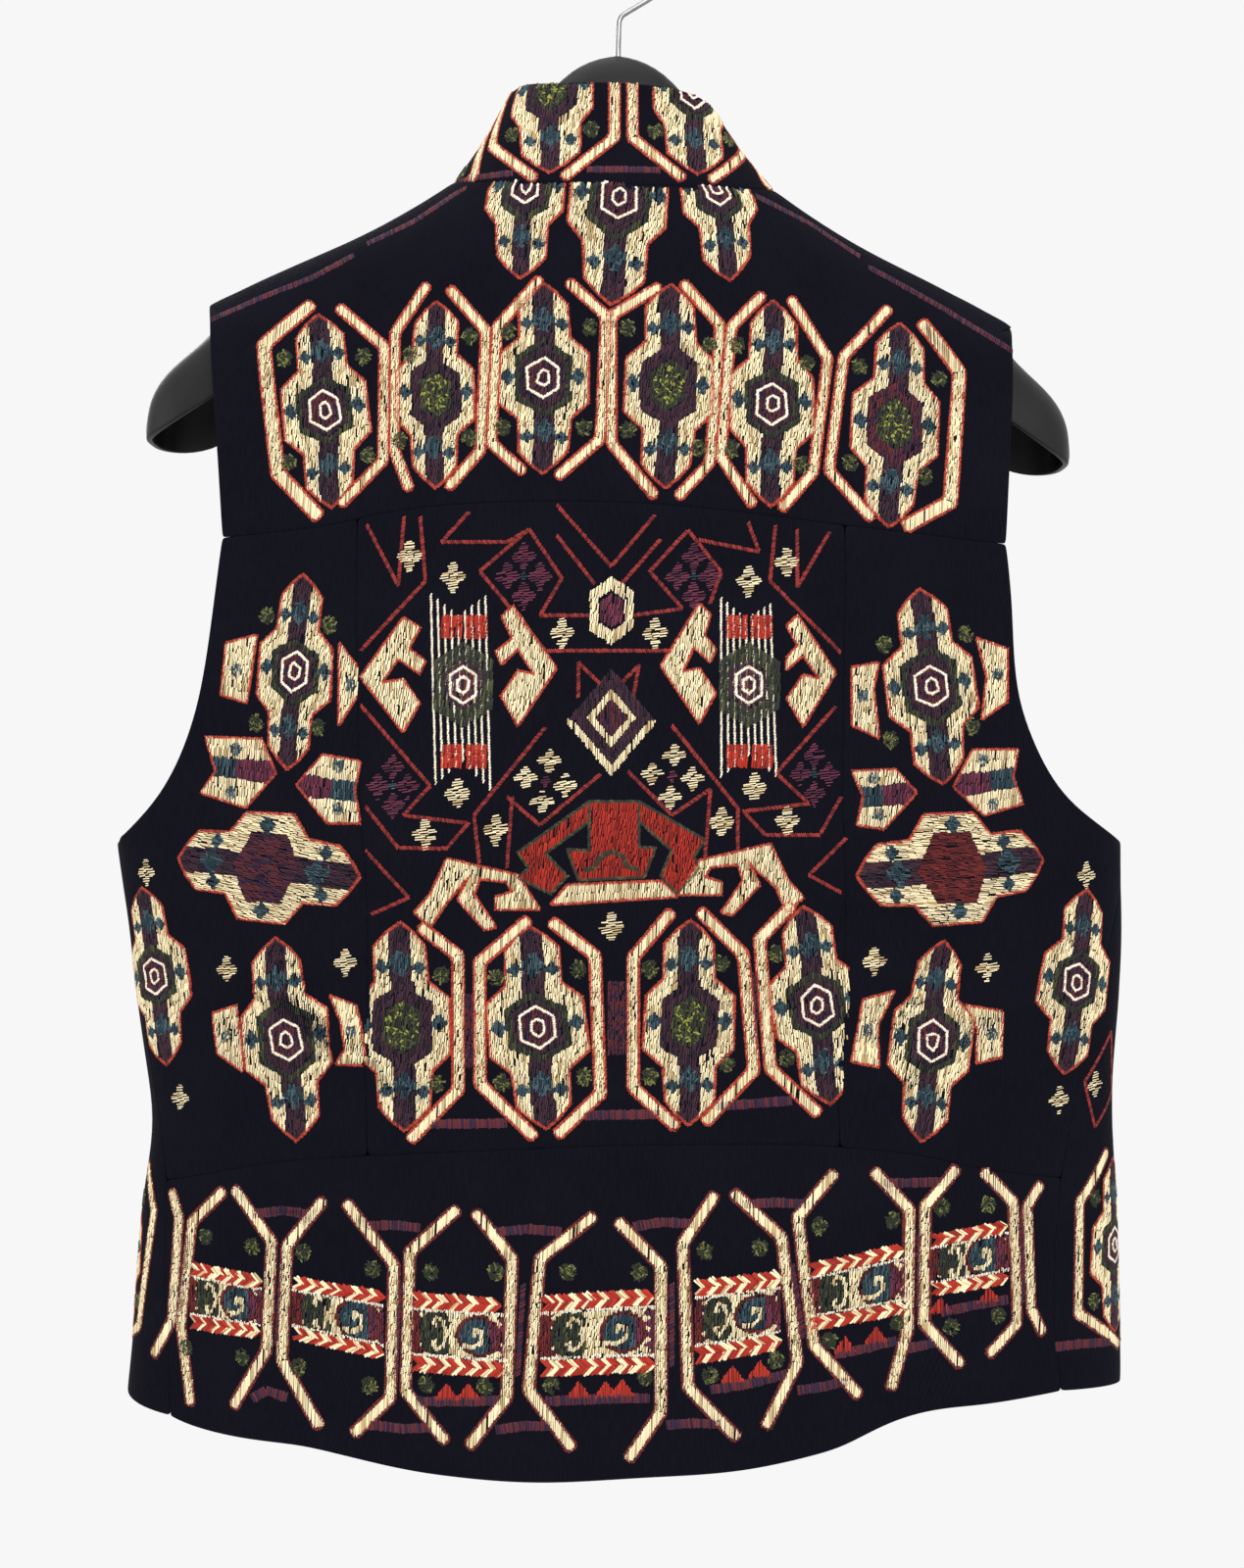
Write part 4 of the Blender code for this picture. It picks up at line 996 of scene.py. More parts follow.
PURPLE_FLOWERS = (
    (534, 588, (12.5, 14.5)), (705, 588, (12.5, 14.5)),
    (399, 802, (11.5, 14.0)), (833, 790, (11.0, 14.0)),
)
# A hook's outline in shares of its box, its point to the left, and the boxes of the four.
HOOK = (
    (0.72, 0.00), (0.92, 0.09), (0.76, 0.27), (1.00, 0.38), (0.92, 0.49), (0.61, 0.36),
    (0.38, 0.57), (0.67, 0.54), (0.97, 0.75), (0.66, 1.00), (0.00, 0.52),
)
HOOKS = ((368, 630, 431, 747), (567, 618, 507, 741), (672, 616, 731, 738), (854, 628, 801, 741))
DIAMOND_MIDDLE = (623, 737)
DIAMOND_HALF = (20.5, 24.5)
SEED_MIDDLE = (622, 623)
# Striped panels: the four corners, the middles of the notched top and foot, and the hexagon's middle.
STRIPED = (
    ((438, 606), (497, 608), (447, 800), (502, 806), (463, 628), (473, 777), (470, 699)),
    ((733, 610), (788, 616), (738, 793), (791, 792), (763, 631), (766, 771), (766, 699)),
)
STRIPES = 8
# Their red blocks: how far up, how far out in shares of the width, and half their size in share and mm.
BLOCK_LEVELS = (26.5, -32.5)
BLOCK_OUT = 0.23
BLOCK_HALF = (0.19, 5.0)
# Half the sizes of the hexagon over them, its heart, and its two white rings.
PANEL_HEXAGON = (14.0, 19.5)
PANEL_HEART = (6.0, 8.6)
PANEL_RINGS = ((5.8, 8.4), (2.5, 3.8))
# The same places on a front, in millimetres out from the panel's middle.
PANEL_PLACES = (
    (-13.0, 44.0), (13.0, 44.0), (-13.0, -44.0), (13.0, -44.0), (0.0, 34.0), (0.0, -34.0), (0.0, 0.0),
)
ARCH = (
    ((599, 818), (526, 870), (537, 886), (531, 896), (560, 912), (577, 894), (559, 871), (600, 838)),
    ((600, 818), (649, 818), (649, 865), (671, 865), (658, 895), (592, 898), (577, 867), (600, 868)),
    ((649, 818), (717, 857), (706, 874), (714, 886), (691, 912), (672, 894), (688, 868), (649, 838)),
)
ARCH_CURL = ((598, 888), (606, 886), (610, 874), (622, 869), (634, 873), (640, 885), (649, 887))
SHELF = ((562, 923), (579, 903), (672, 899), (689, 915))
CLAW = (
    (456, 876), (529, 893), (551, 928), (506, 928), (506, 915), (523, 910), (516, 900), (491, 897),
    (484, 913), (506, 946), (493, 949), (469, 918), (476, 895), (453, 921), (438, 946), (420, 931),
    (438, 912),
)
# The other claw is this one mirrored: its x taken from the first number, its y moved by the second.
CLAW_MIRROR = (1242, -15)
LOW_MEDALLIONS = (
    (408, 941, 411, 1154, -0.5, 44.0, "purple_fleck"),
    (542, 945, 554, 1152, 0.0, 45.0, "dark_eye"),
    (694, 939, 697, 1148, -3.0, 41.0, "purple_fleck"),
    (817, 925, 844, 1127, 0.0, 41.0, "dark_eye"),
)
LOW_BARS = (
    ((427, 945), (466, 975), (468, 1112), (417, 1164)),
    ((538, 938), (490, 982), (487, 1106), (545, 1161)),
    ((564, 940), (608, 975), (610, 1116), (568, 1159)),
    ((685, 930), (644, 977), (647, 1110), (690, 1151)),
    ((711, 929), (757, 974), (768, 1092), (717, 1146)),
    ((810, 923), (775, 958), (783, 1090), (835, 1137)),
)
LOW_KNOTS = (
    (449, 995), (447, 1106), (506, 998), (592, 989), (511, 1105), (594, 1099),
    (661, 989), (737, 983), (662, 1098), (743, 1085), (793, 973), (800, 1080),
)
CHAIN_BLOCKS = ((479, 1052, 3.4, 33.0), (627, 1039, 8.2, 33.0), (770, 1029, 3.0, 32.0))
LOW_BANDS = (((441, 1147), (518, 1146)), ((595, 1138), (672, 1137)), ((729, 1129), (808, 1123)))


def flower(work, centre, half, yarn="cream", heart=None):
    """A small cross-shaped flower: open rows of stitches, widest in the middle of each petal."""
    petal, middle = yarn_numbers(yarn, heart or yarn)

    def region(a, b):
        x = np.abs(b) / half[0]
        y = np.abs(a) / half[1]
        arm = np.minimum(x, y)
        reach = np.maximum(x, y)
        found = (reach < 1) & (arm < np.where(reach > 0.80, 0.18, 0.36)) | (reach < 0.44)
        return np.select([(x + y < 0.34) & found, found], [middle, petal], BARE)

    box = (-half[1], -half[0], half[1], half[0])
    work.fill(centre, box, region, turn=90.0, longest=4.4, pitch=1.12, slant=0.14)


def diamond(work, centre, half):
    """The middle diamond: dark purple, a cream square ring in it, and a thick cream lower edge."""
    cream, purple, maroon = yarn_numbers("cream", "purple", "maroon")

    def region(a, b):
        far = np.abs(a) / half[0] + np.abs(b) / half[1]
        inner = np.abs(a) / half[0] + np.abs(b - 2) / half[1]
        picks = [far > 1, (far > 0.80) & (b < 1), (inner > 0.36) & (inner < 0.55), inner < 0.36]
        return np.select(picks, [BARE, cream, cream, maroon], purple)

    work.fill(centre, (-half[0], -half[1], half[0], half[1]), region, slant=0.0)


def all_over(yarn):
    """The region of a block that is one yarn all over."""
    return lambda a, b: np.full(np.shape(a), YARN_NAMES.index(yarn))


def striped_lines(work, top_left, top_right, foot_left, foot_right, notch, foot_notch, heart):
    """Thin white stem lines side by side, red blocks between them, and a dark hexagon over all."""
    for share in np.linspace(0, 1, STRIPES + 1):
        fold = 1 - abs(2 * share - 1)
        top = top_left * (1 - share) + top_right * share
        foot = foot_left * (1 - share) + foot_right * share
        top[1] += fold * (notch[1] - (top_left[1] + top_right[1]) / 2)
        foot[1] += fold * (foot_notch[1] - (foot_left[1] + foot_right[1]) / 2)
        work.row((top, foot), "white", 0.85, lean=26.0, pitch=1.25, yarn_wide=0.8)
    width = foot_right[0] - foot_left[0]
    half = abs(width) * BLOCK_HALF[0]
    block = (-half, -BLOCK_HALF[1], half, BLOCK_HALF[1])
    for level in BLOCK_LEVELS:
        for out in (-BLOCK_OUT, BLOCK_OUT):
            middle = np.array([heart[0] + out * width, heart[1] + level])
            work.fill(middle, block, all_over("bright_red"), lift=0.3)
    green, purple, maroon = yarn_numbers("green", "purple", "maroon")

    def region(a, b):
        core = pointed(a, b, *PANEL_HEXAGON)
        picks = [core > 1, pointed(a, b, *PANEL_HEART) < 1, core < 0.6]
        return np.select(picks, [BARE, maroon, purple], green)

    work.fill(heart, (-14, -20, 14, 20), region, lift=0.45)
    for out, up in PANEL_RINGS:
        work.row(np.array(HEXAGON) * (out, up) + heart, "white", 1.1, lean=38.0, pitch=0.8, lift=0.6)


centre_work = Needlework("embroidery_centre", back_chart, ["back_centre"], 12)
for path in STEM_LINES:
    centre_work.row(back_chart.seen_all(path), "stem_red", 1.75, lean=62.0, pitch=0.9)
placed(back_chart, centre_work, [(*at, (6.0, 7.0)) for at in SMALL_FLOWERS], flower)
for px, py, turn in BIG_FLOWERS:
    middle = back_chart.seen(px, py)
    for petal in turned(BIG_PETALS, middle, turn):
        flower(centre_work, petal, (5.6, 5.4))
    flower(centre_work, middle, (2.6, 2.6), yarn="plum")
for px, py, half in PURPLE_FLOWERS:
    middle = back_chart.seen(px, py)
    for out_x, out_y in PURPLE_PETALS:
        at = middle + (out_x * half[0], out_y * half[1])
        flower(centre_work, at, (half[0] * 0.46, half[1] * 0.44), yarn="plum")
    flower(centre_work, middle, (2.4, 2.4), yarn="teal")
for left, top, right, foot in HOOKS:
    outline = [(left + x * (right - left), top + y * (foot - top)) for x, y in HOOK]
    centre_work.shape(back_chart.seen_all(outline), "cream", "red", 1.4)
for places in STRIPED:
    striped_lines(centre_work, *back_chart.seen_all(places))
diamond(centre_work, back_chart.seen(*DIAMOND_MIDDLE), DIAMOND_HALF)


def seed_hexagon(a, b):
    """The small cream hexagon with a purple heart."""
    far = pointed(a, b, 10.2, 15.6)
    picks = [far > 1, (far > 0.5) & (far < 0.6), far < 0.5]
    return np.select(picks, [BARE, BARE, YARN_NAMES.index("plum")], YARN_NAMES.index("cream"))


centre_work.fill(back_chart.seen(*SEED_MIDDLE), (-10.5, -16, 10.5, 16), seed_hexagon)
for outline in ARCH:
    centre_work.shape(back_chart.seen_all(outline), "bright_red")
    centre_work.row(back_chart.seen_all((*outline, outline[0])), "green", 1.1, lean=34.0, lift=0.1)
centre_work.row(back_chart.seen_all(ARCH_CURL), "green", 2.2, lean=60.0, lift=0.3)
centre_work.shape(back_chart.seen_all(SHELF), "cream", "red", 1.5)
centre_work.shape(back_chart.seen_all(CLAW), "cream", "red", 1.4)
other_claw = [(CLAW_MIRROR[0] - px, py + CLAW_MIRROR[1]) for px, py in CLAW]
centre_work.shape(back_chart.seen_all(other_claw), "cream", "red", 1.4)
medallions(back_chart, centre_work, LOW_MEDALLIONS)
for path in LOW_BARS:
    bar(centre_work, back_chart.seen_all(path), 4.8)
placed(back_chart, centre_work, LOW_KNOTS, blob)
for px, py, wide, tall in CHAIN_BLOCKS:
    block = (-wide / 2, -tall / 2, wide / 2, tall / 2)
    centre_work.fill(back_chart.seen(px, py), block, all_over("maroon"), longest=2.4)
for ends in LOW_BANDS:
    satin_band(back_chart, centre_work, ends)
centre_work.make()

# The side backs' work, on both side panels and the narrow strip beside the side seams: medallions
# upright and on their sides, the upright ones between small wings, and pairs of arrow-shaped motifs.
SIDE_MEDALLIONS = (
    (309, 586, 291, 785, 0.0, 35.6, "dark_eye"),
    (939, 601, 960, 800, 0.0, 43.5, "purple_eye"),
    (275, 957, 301, 1164, -1.5, 41.5, "purple_eye"),
    (966, 960, 943, 1165, 2.0, 39.0, "dark_eye"),
    (150, 906, 176, 1087, 3.0, 42.0, "dark_eye"),
    (1105, 908, 1082, 1096, -3.0, 42.0, "dark_eye"),
    (183, 875, 365, 895, 0.0, 50.0, "dark_net"),
    (1064, 877, 876, 895, 0.0, 51.0, "red_net"),
)
WINGS = (
    ((231, 656), (261, 648), (255, 683), (252, 717), (227, 709)),
    ((345, 656), (367, 685), (368, 705), (344, 740), (346, 700)),
    ((868, 681), (897, 676), (889, 703), (896, 753), (870, 740)),
    ((995, 651), (1028, 662), (1028, 716), (1000, 734), (1005, 690)),
    ((218, 1034), (243, 1026), (246, 1060), (247, 1093), (222, 1075)),
    ((338, 1016), (365, 1026), (371, 1054), (371, 1087), (342, 1086), (350, 1071), (350, 1042)),
    ((880, 1020), (911, 1011), (896, 1046), (896, 1089), (870, 1083)),
    ((988, 1026), (1023, 1032), (1019, 1079), (994, 1085), (996, 1050)),
)
WING_DOTS = (
    (239, 684), (355, 699), (878, 710), (1016, 688), (231, 1058), (360, 1053), (884, 1051), (1011, 1055),
)
SIDE_KNOTS = (
    (271, 628), (334, 638), (260, 738), (326, 742), (900, 658), (983, 647), (910, 755), (991, 741),
)
SIDE_FLOWERS = (
    (150, 890), (231, 989), (354, 982), (184, 1120), (890, 981), (1005, 987), (1110, 893), (1079, 1122),
    (1117, 1107),
)
# Arrows: the point, then the outline on from it, and the two dots.
ARROWS = (
    ((279, 789), (265, 754), (212, 752), (221, 787), (203, 809), (249, 824)),
    ((305, 801), (331, 770), (369, 777), (361, 806), (366, 840), (337, 840)),
    ((937, 809), (915, 785), (867, 787), (878, 812), (876, 842), (902, 846)),
    ((972, 803), (994, 765), (1037, 765), (1033, 793), (1045, 820), (1005, 832)),
)
ARROW_DOTS = (
    (243, 765), (237, 809), (344, 782), (344, 825), (891, 794), (899, 831), (1004, 776), (1012, 821),
)
SIDE_DIAMOND = ((1133, 1052), (1107, 1104), (1117, 1150), (1134, 1112))


def teal_dot(work, centre, half=(2.6, 3.0)):
    """One of the small blue knots, sewn over the cream."""
    index = YARN_NAMES.index("teal")
    work.fill(
        centre, (-half[0], -half[1], half[0], half[1]),
        lambda a, b: np.where((a / half[0]) ** 2 + (b / half[1]) ** 2 < 1, index, BARE),
        longest=2.4, lift=0.3,
    )


def arrow(work, outline):
    """An arrow-shaped motif: cream, its middle band blue at the back and purple to the point."""
    back = (outline[2] + outline[4]) / 2
    reach = outline[0] - back
    length = math.hypot(*reach)
    way = reach / length
    cream, teal, plum = yarn_numbers("cream", "teal", "plum")

    def region(a, b):
        along = ((a - back[0]) * way[0] + (b - back[1]) * way[1]) / length
        aside = np.abs((a - back[0]) * way[1] - (b - back[1]) * way[0])
        wide = 4.6 + 2.2 * np.clip(along - 0.5, 0, 1)
        picks = [~within(a, b, outline), (aside < wide) & (along < 0.45), aside < wide]
        return np.select(picks, [BARE, teal, plum], cream)

    work.fill((0.0, 0.0), (*outline.min(0), *outline.max(0)), region)
    work.row(closed(outline), "red", 1.4)


side_nodes = ["back_side_left", "back_side_right", "front_left", "front_right"]
side_work = Needlework("embroidery_sides", back_chart, side_nodes, 13)
medallions(back_chart, side_work, SIDE_MEDALLIONS)
for outline in WINGS:
    side_work.shape(back_chart.seen_all(outline), "cream", "red", 1.4)
placed(back_chart, side_work, WING_DOTS, teal_dot)
placed(back_chart, side_work, SIDE_KNOTS, blob)
placed(back_chart, side_work, [(*at, (5.6, 6.4)) for at in SIDE_FLOWERS], flower)
for outline in ARROWS:
    arrow(side_work, back_chart.seen_all(outline))
placed(back_chart, side_work, ARROW_DOTS, teal_dot)
side_work.row(back_chart.seen_all((*SIDE_DIAMOND, SIDE_DIAMOND[0])), "stem_red", 1.75, lean=62.0)
side_work.make()

# The hem band's work: pairs of cream brackets back to back, and between them lengths of a braided band
# with a green and a blue hook on cream. Under it run red teeth on purple satin.
HEM_BARS = (
    ((152, 1185), (157, 1236), (141, 1353), (128, 1362)),
    ((174, 1214), (184, 1243), (174, 1347), (158, 1384)),
    ((227, 1214), (198, 1247), (183, 1353), (195, 1434)),
    ((238, 1212), (277, 1267), (274, 1378), (236, 1436)),
    ((332, 1224), (293, 1271), (288, 1388), (324, 1457)),
    ((351, 1226), (403, 1291), (396, 1426), (358, 1464)),
    ((465, 1233), (419, 1278), (413, 1419), (456, 1472)),
    ((482, 1236), (525, 1285), (518, 1426), (475, 1477)),
    ((608, 1240), (548, 1285), (537, 1419), (586, 1479)),
    ((631, 1245), (676, 1292), (676, 1441), (638, 1490)),
    ((729, 1218), (696, 1269), (703, 1416), (754, 1468)),
    ((747, 1216), (798, 1263), (814, 1390), (781, 1457)),
    ((854, 1196), (816, 1242), (829, 1372), (879, 1425)),
    ((890, 1194), (928, 1234), (928, 1358), (908, 1418)),
    ((977, 1191), (943, 1231), (945, 1350), (979, 1394)),
    ((1001, 1194), (1032, 1227), (1037, 1350), (1008, 1383)),
    ((1063, 1207), (1048, 1231), (1050, 1336), (1066, 1361)),
    ((1130, 1173), (1101, 1227), (1099, 1340), (1141, 1372)),
)
# Each length of the braided band: left x, its top and foot, right x, its top and foot.
BAND_LENGTHS = (
    (192, 1287, 1355, 269, 1302, 1366),
    (297, 1302, 1366, 392, 1317, 1389),
    (420, 1318, 1399, 514, 1324, 1406),
    (549, 1322, 1405, 667, 1315, 1402),
    (706, 1306, 1392, 798, 1297, 1376),
    (824, 1290, 1358, 924, 1268, 1342),
    (948, 1260, 1322, 1027, 1244, 1310),
)
CHAIN_STRIPS = (
    ((190, 1262), (184, 1338)), ((285, 1288), (281, 1372)), ((407, 1310), (402, 1402)),
    ((533, 1310), (528, 1404)), ((687, 1309), (687, 1395)), ((808, 1290), (818, 1366)),
    ((936, 1256), (937, 1332)), ((1041, 1232), (1043, 1330)),
)
HEM_KNOTS = (
    (212, 1262), (257, 1272), (311, 1278), (378, 1295), (441, 1298), (504, 1298), (576, 1298),
    (190, 1375), (248, 1385), (306, 1395), (374, 1414), (432, 1412), (496, 1415), (560, 1414),
    (650, 1298), (717, 1277), (777, 1273), (836, 1251), (912, 1245), (963, 1232), (1010, 1229),
    (656, 1405), (723, 1404), (792, 1388), (848, 1368), (915, 1349), (972, 1354), (1017, 1342),
)
HEM_TEETH = (
    (456, 1420), (480, 1420), (590, 1418), (617, 1418), (636, 1416), (745, 1402), (775, 1397),
    (863, 1372), (895, 1362), (960, 1332), (1006, 1321),
)
# A tooth's corners, from its middle.
TOOTH = ((-5.8, -3.6), (0.0, 3.8), (5.8, -3.6))
HEM_SATIN = (
    ((258, 1239), (286, 1235), (313, 1239)), ((372, 1251), (400, 1250), (430, 1253)),
    ((506, 1257), (540, 1254), (575, 1257)), ((644, 1252), (676, 1247), (709, 1249)),
    ((760, 1229), (793, 1227), (827, 1229)), ((901, 1207), (930, 1207), (959, 1206)),
    ((255, 1427), (274, 1419), (293, 1426)), ((379, 1454), (410, 1458), (441, 1457)),
    ((506, 1459), (534, 1455), (561, 1455)), ((678, 1454), (706, 1452), (734, 1453)),
    ((812, 1419), (840, 1415), (868, 1408)), ((925, 1376), (941, 1373), (955, 1370)),
    ((425, 1430), (468, 1430), (510, 1429)), ((554, 1430), (600, 1428), (665, 1427)),
    ((723, 1418), (765, 1412), (805, 1402)), ((853, 1382), (885, 1376), (915, 1368)),
    ((957, 1339), (990, 1332), (1028, 1326)), ((1078, 1374), (1104, 1371), (1131, 1369)),
)
# The frames that go round the sides: a pixel on the back bar, and which way from it the rest lies.
SIDE_FRAMES = ((1100, 1278, -1), (150, 1278, 1))
SIDE_BAR = ((12.0, 50.0), (27.0, 25.0), (27.0, -27.0), (10.0, -46.0))
SIDE_REACH = SIDE_BAR[1][0]
SIDE_TIP = 41.0
SIDE_WIDE = 38.0
SIDE_KNOT = (17.0, 24.0)
# The braids: how often red comes back, its share of that, each braid's share of the band's height,
# and how far its stitches lean.
BRAID_STEP = 7.3
BRAID_RED = 0.60
BRAID_SHARE = 0.2
BRAID_LEAN = 3.6


def braid(work, start, end, wide):
    """Red and cream plait stitches: two rows leaning to a middle line, like arrows to the photo's right."""
    way = end - start
    length = math.hypot(*way)
    way = way / length
    side = np.array([-way[1], way[0]])
    at = np.arange(0.4, length - BRAID_LEAN + 0.3, 0.70)
    marks = np.arange(0, length + 8, 4)
    wander = np.interp(at, marks, work.chance.normal(0, 0.9, len(marks)))
    red, cream = yarn_numbers("bright_red", "cream")
    for hand in (-1, 1):
        turn = np.mod(at + wander + 0.8 * hand, BRAID_STEP)
        yarns = np.where(turn < BRAID_RED * BRAID_STEP, red, cream)
        rough = work.chance.normal(0, 0.35, (2, len(at), 1))
        outer = start + at[:, None] * way + hand * side * (wide / 2 + rough[0])
        inner = start + (at[:, None] + BRAID_LEAN + rough[1]) * way
        work.lay(outer, inner, yarns, 1.0, 0.1)


# The green motif's two lobes and its body: how far along as a share, how far up and how big in mm, or in
# the body's case half its length as a share and half its height in mm.
GREEN_LOBE = (0.29, 5.2, 5.6)
GREEN_BODY = (0.22, 0.12, 9.6)
# The round blue motif: how far along, the radius with and without its brick ring, and where plum begins.
BLUE_AT = 0.72
BLUE_RADII = (9.2, 7.8)
PLUM_FROM = 0.82
# The cream curls that run into the green and the blue motif: share of the length, and mm from the middle.
GREEN_CURL = ((0.46, 0.6), (0.37, 1.4), (0.35, 5.4), (0.28, 7.0), (0.24, 4.4), (0.28, 3.2))
BLUE_CURL = ((0.54, -4.6), (0.66, -5.0), (0.75, -2.6), (0.74, 2.0), (0.68, 2.6), (0.67, -0.6))


def braided_band(work, low_left, high_left, low_right, high_right):
    """A length of the band: two red and cream braids, and between them a green and a blue hook."""
    wide = low_right[0] - low_left[0]
    long = abs(wide)
    tall = abs(high_left[1] - low_left[1])
    cream, white, green, teal, plum, brick = yarn_numbers("cream", "white", "green", "teal", "plum", "brick")

    def region(a, b):
        s = (a - low_left[0]) / wide
        low = low_left[1] + s * (low_right[1] - low_left[1])
        high = high_left[1] + s * (high_right[1] - high_left[1])
        t = (b - low) / (high - low)
        x = s * long
        y = (t - 0.5) * tall
        fold = np.abs(y)
        lobe = np.hypot(x - GREEN_LOBE[0] * long, fold - GREEN_LOBE[1])
        body = ((x / long - GREEN_BODY[0]) / GREEN_BODY[1]) ** 2 + (y / GREEN_BODY[2]) ** 2
        green_here = (lobe < GREEN_LOBE[2]) | (body < 1)
        green_eye = within(x, fold, thick_line([(u * long, v) for u, v in GREEN_CURL], 1.7))
        blue = np.hypot(0.86 * (x - BLUE_AT * long), y)
        blue_here = blue < BLUE_RADII[1]
        comma = within(x, y, thick_line([(u * long, v) for u, v in BLUE_CURL], 2.0))
        picks = [
            (t < BRAID_SHARE) | (t > 1 - BRAID_SHARE) | (s < 0) | (s > 1),
            (t < BRAID_SHARE + 0.035) | (t > 1 - BRAID_SHARE - 0.035),
            green_here & green_eye, green_here,
            comma, (blue < BLUE_RADII[0]) & (blue > BLUE_RADII[1]),
            blue_here & (x < PLUM_FROM * long), blue_here,
            s > 0.93 + 0.03 * np.sin(1.4 * y), s < 0.13 + 0.04 * np.sin(1.4 * y),
        ]
        yarns = [BARE, white, cream, green, cream, brick, teal, plum, plum, brick]
        return np.select(picks, yarns, cream)

    corners = np.array([low_left, high_left, low_right, high_right])
    work.fill((0.0, 0.0), (*corners.min(0), *corners.max(0)), region, longest=3.4)
    share = BRAID_SHARE / 2
    for place in (share, 1 - share):
        start = np.asarray(low_left) * (1 - place) + np.asarray(high_left) * place
        end = np.asarray(low_right) * (1 - place) + np.asarray(high_right) * place
        braid(work, start, end, tall * BRAID_SHARE * 0.94)


def tooth(work, centre):
    """One small red tooth of the row under the band."""
    work.shape(np.asarray(TOOTH) + centre, "bright_red", longest=12.0, slant=0.0, yarn_wide=0.95)


hem_nodes = ["back_hem_band", "front_left", "front_right"]
hem_work = Needlework("embroidery_hem", back_chart, hem_nodes, 14)
for path in HEM_BARS:
    bar(hem_work, back_chart.seen_all(path), 4.9, "brick")
for left, top_left, foot_left, right, top_right, foot_right in BAND_LENGTHS:
    corners = ((left, foot_left), (left, top_left), (right, foot_right), (right, top_right))
    braided_band(hem_work, *back_chart.seen_all(corners))
for px, py, hand in SIDE_FRAMES:
    middle = back_chart.seen(px, py) + (hand * SIDE_REACH, 0.0)
    medallion(hem_work, middle, middle - (0.0, SIDE_TIP), SIDE_WIDE, "dark_eye")
    bar(hem_work, [middle + (hand * x, y) for x, y in SIDE_BAR], 4.9, "brick")
    for level in (-SIDE_KNOT[1], SIDE_KNOT[1]):
        blob(hem_work, middle + (hand * SIDE_KNOT[0], level))
        blob(hem_work, middle - (hand * SIDE_KNOT[0], level))
for path in CHAIN_STRIPS:
    hem_work.row(back_chart.seen_all(path), "maroon", 2.6, lean=60.0, pitch=1.0)
placed(back_chart, hem_work, HEM_KNOTS, blob)
placed(back_chart, hem_work, HEM_TEETH, tooth)
for path in HEM_SATIN:
    satin_band(back_chart, hem_work, path)
hem_work.make()


# The collar's work: the lower halves of bracketed medallions at even steps, four round the back
# with maroon satin in the gaps along its foot, and two in front beside the opening.
COLLAR_EXTENT = (95.0, 60.0, -92.0, -215.0, 1.25)
COLLAR_WIDE = 40.5
COLLAR_TALL = 86.0
COLLAR_FIRST = (561, 176)
COLLAR_KNOT = (19.5, 21.0)
# Past this far from the middle the collar's foot drops, by this much a square millimetre.
DROP_FROM = 40.0
DROP = 0.0036
# Piece, side, how far round it goes, the front's first tip, the step to the next, the steps, and
# how far out the bars are.
COLLAR_SIDES = (
    ("embroidery_collar_back", 1, 136.5, None, 69.0, (-1, 3), 30.3),
    ("embroidery_collar_front", -1, 49.0, (24.5, -198.0), 49.0, (0, 2), 22.5),
)
collar_cores = ("purple_fleck", "dark_eye")
for name, side, kept, first_tip, apart, steps, out in COLLAR_SIDES:
    collar_chart = Chart(["collar"], side, *COLLAR_EXTENT, kept)
    collar_work = Needlework(name, collar_chart, ["collar"], 15)
    if side == 1:
        first_tip = collar_chart.seen(*COLLAR_FIRST)
    for step in range(*steps):
        tip = np.array(first_tip) - (step * apart, 0.0)
        tip[1] -= DROP * max(0.0, abs(tip[0]) - DROP_FROM) ** 2
        medallion(collar_work, tip + (0.0, COLLAR_TALL / 2), tip, COLLAR_WIDE, collar_cores[step % 2], 0.70)
        for hand in (-1, 1):
            path = [tip + (hand * x, y) for x, y in ((out, 60.0), (out, 17.0), (6.5, -3.0))]
            bar(collar_work, path, 4.4)
            blob(collar_work, tip + (hand * COLLAR_KNOT[0], COLLAR_KNOT[1]))
        if side == 1:
            band = [tip + (apart / 2 + x, 1.0) for x in (-17.0, 17.0)]
            collar_work.row(band, "maroon", 3.4, lean=88.0, pitch=0.75)
    collar_work.make()

# The fronts' work, which the photo hides, repeats the back's kinds of motif plainly on each side of
# the opening: three bracketed medallions, a striped panel between hooks, a lower row, and the hem band.
FRONT_TOP = -266.0
FRONT_MEDALLIONS = ((37.0, "dark_eye"), (95.0, "purple_fleck"), (152.0, "purple_eye"))
FRONT_LOW = -548.0
FRONT_LOW_MEDALLIONS = ((37.0, "purple_fleck"), (95.0, "dark_eye"))
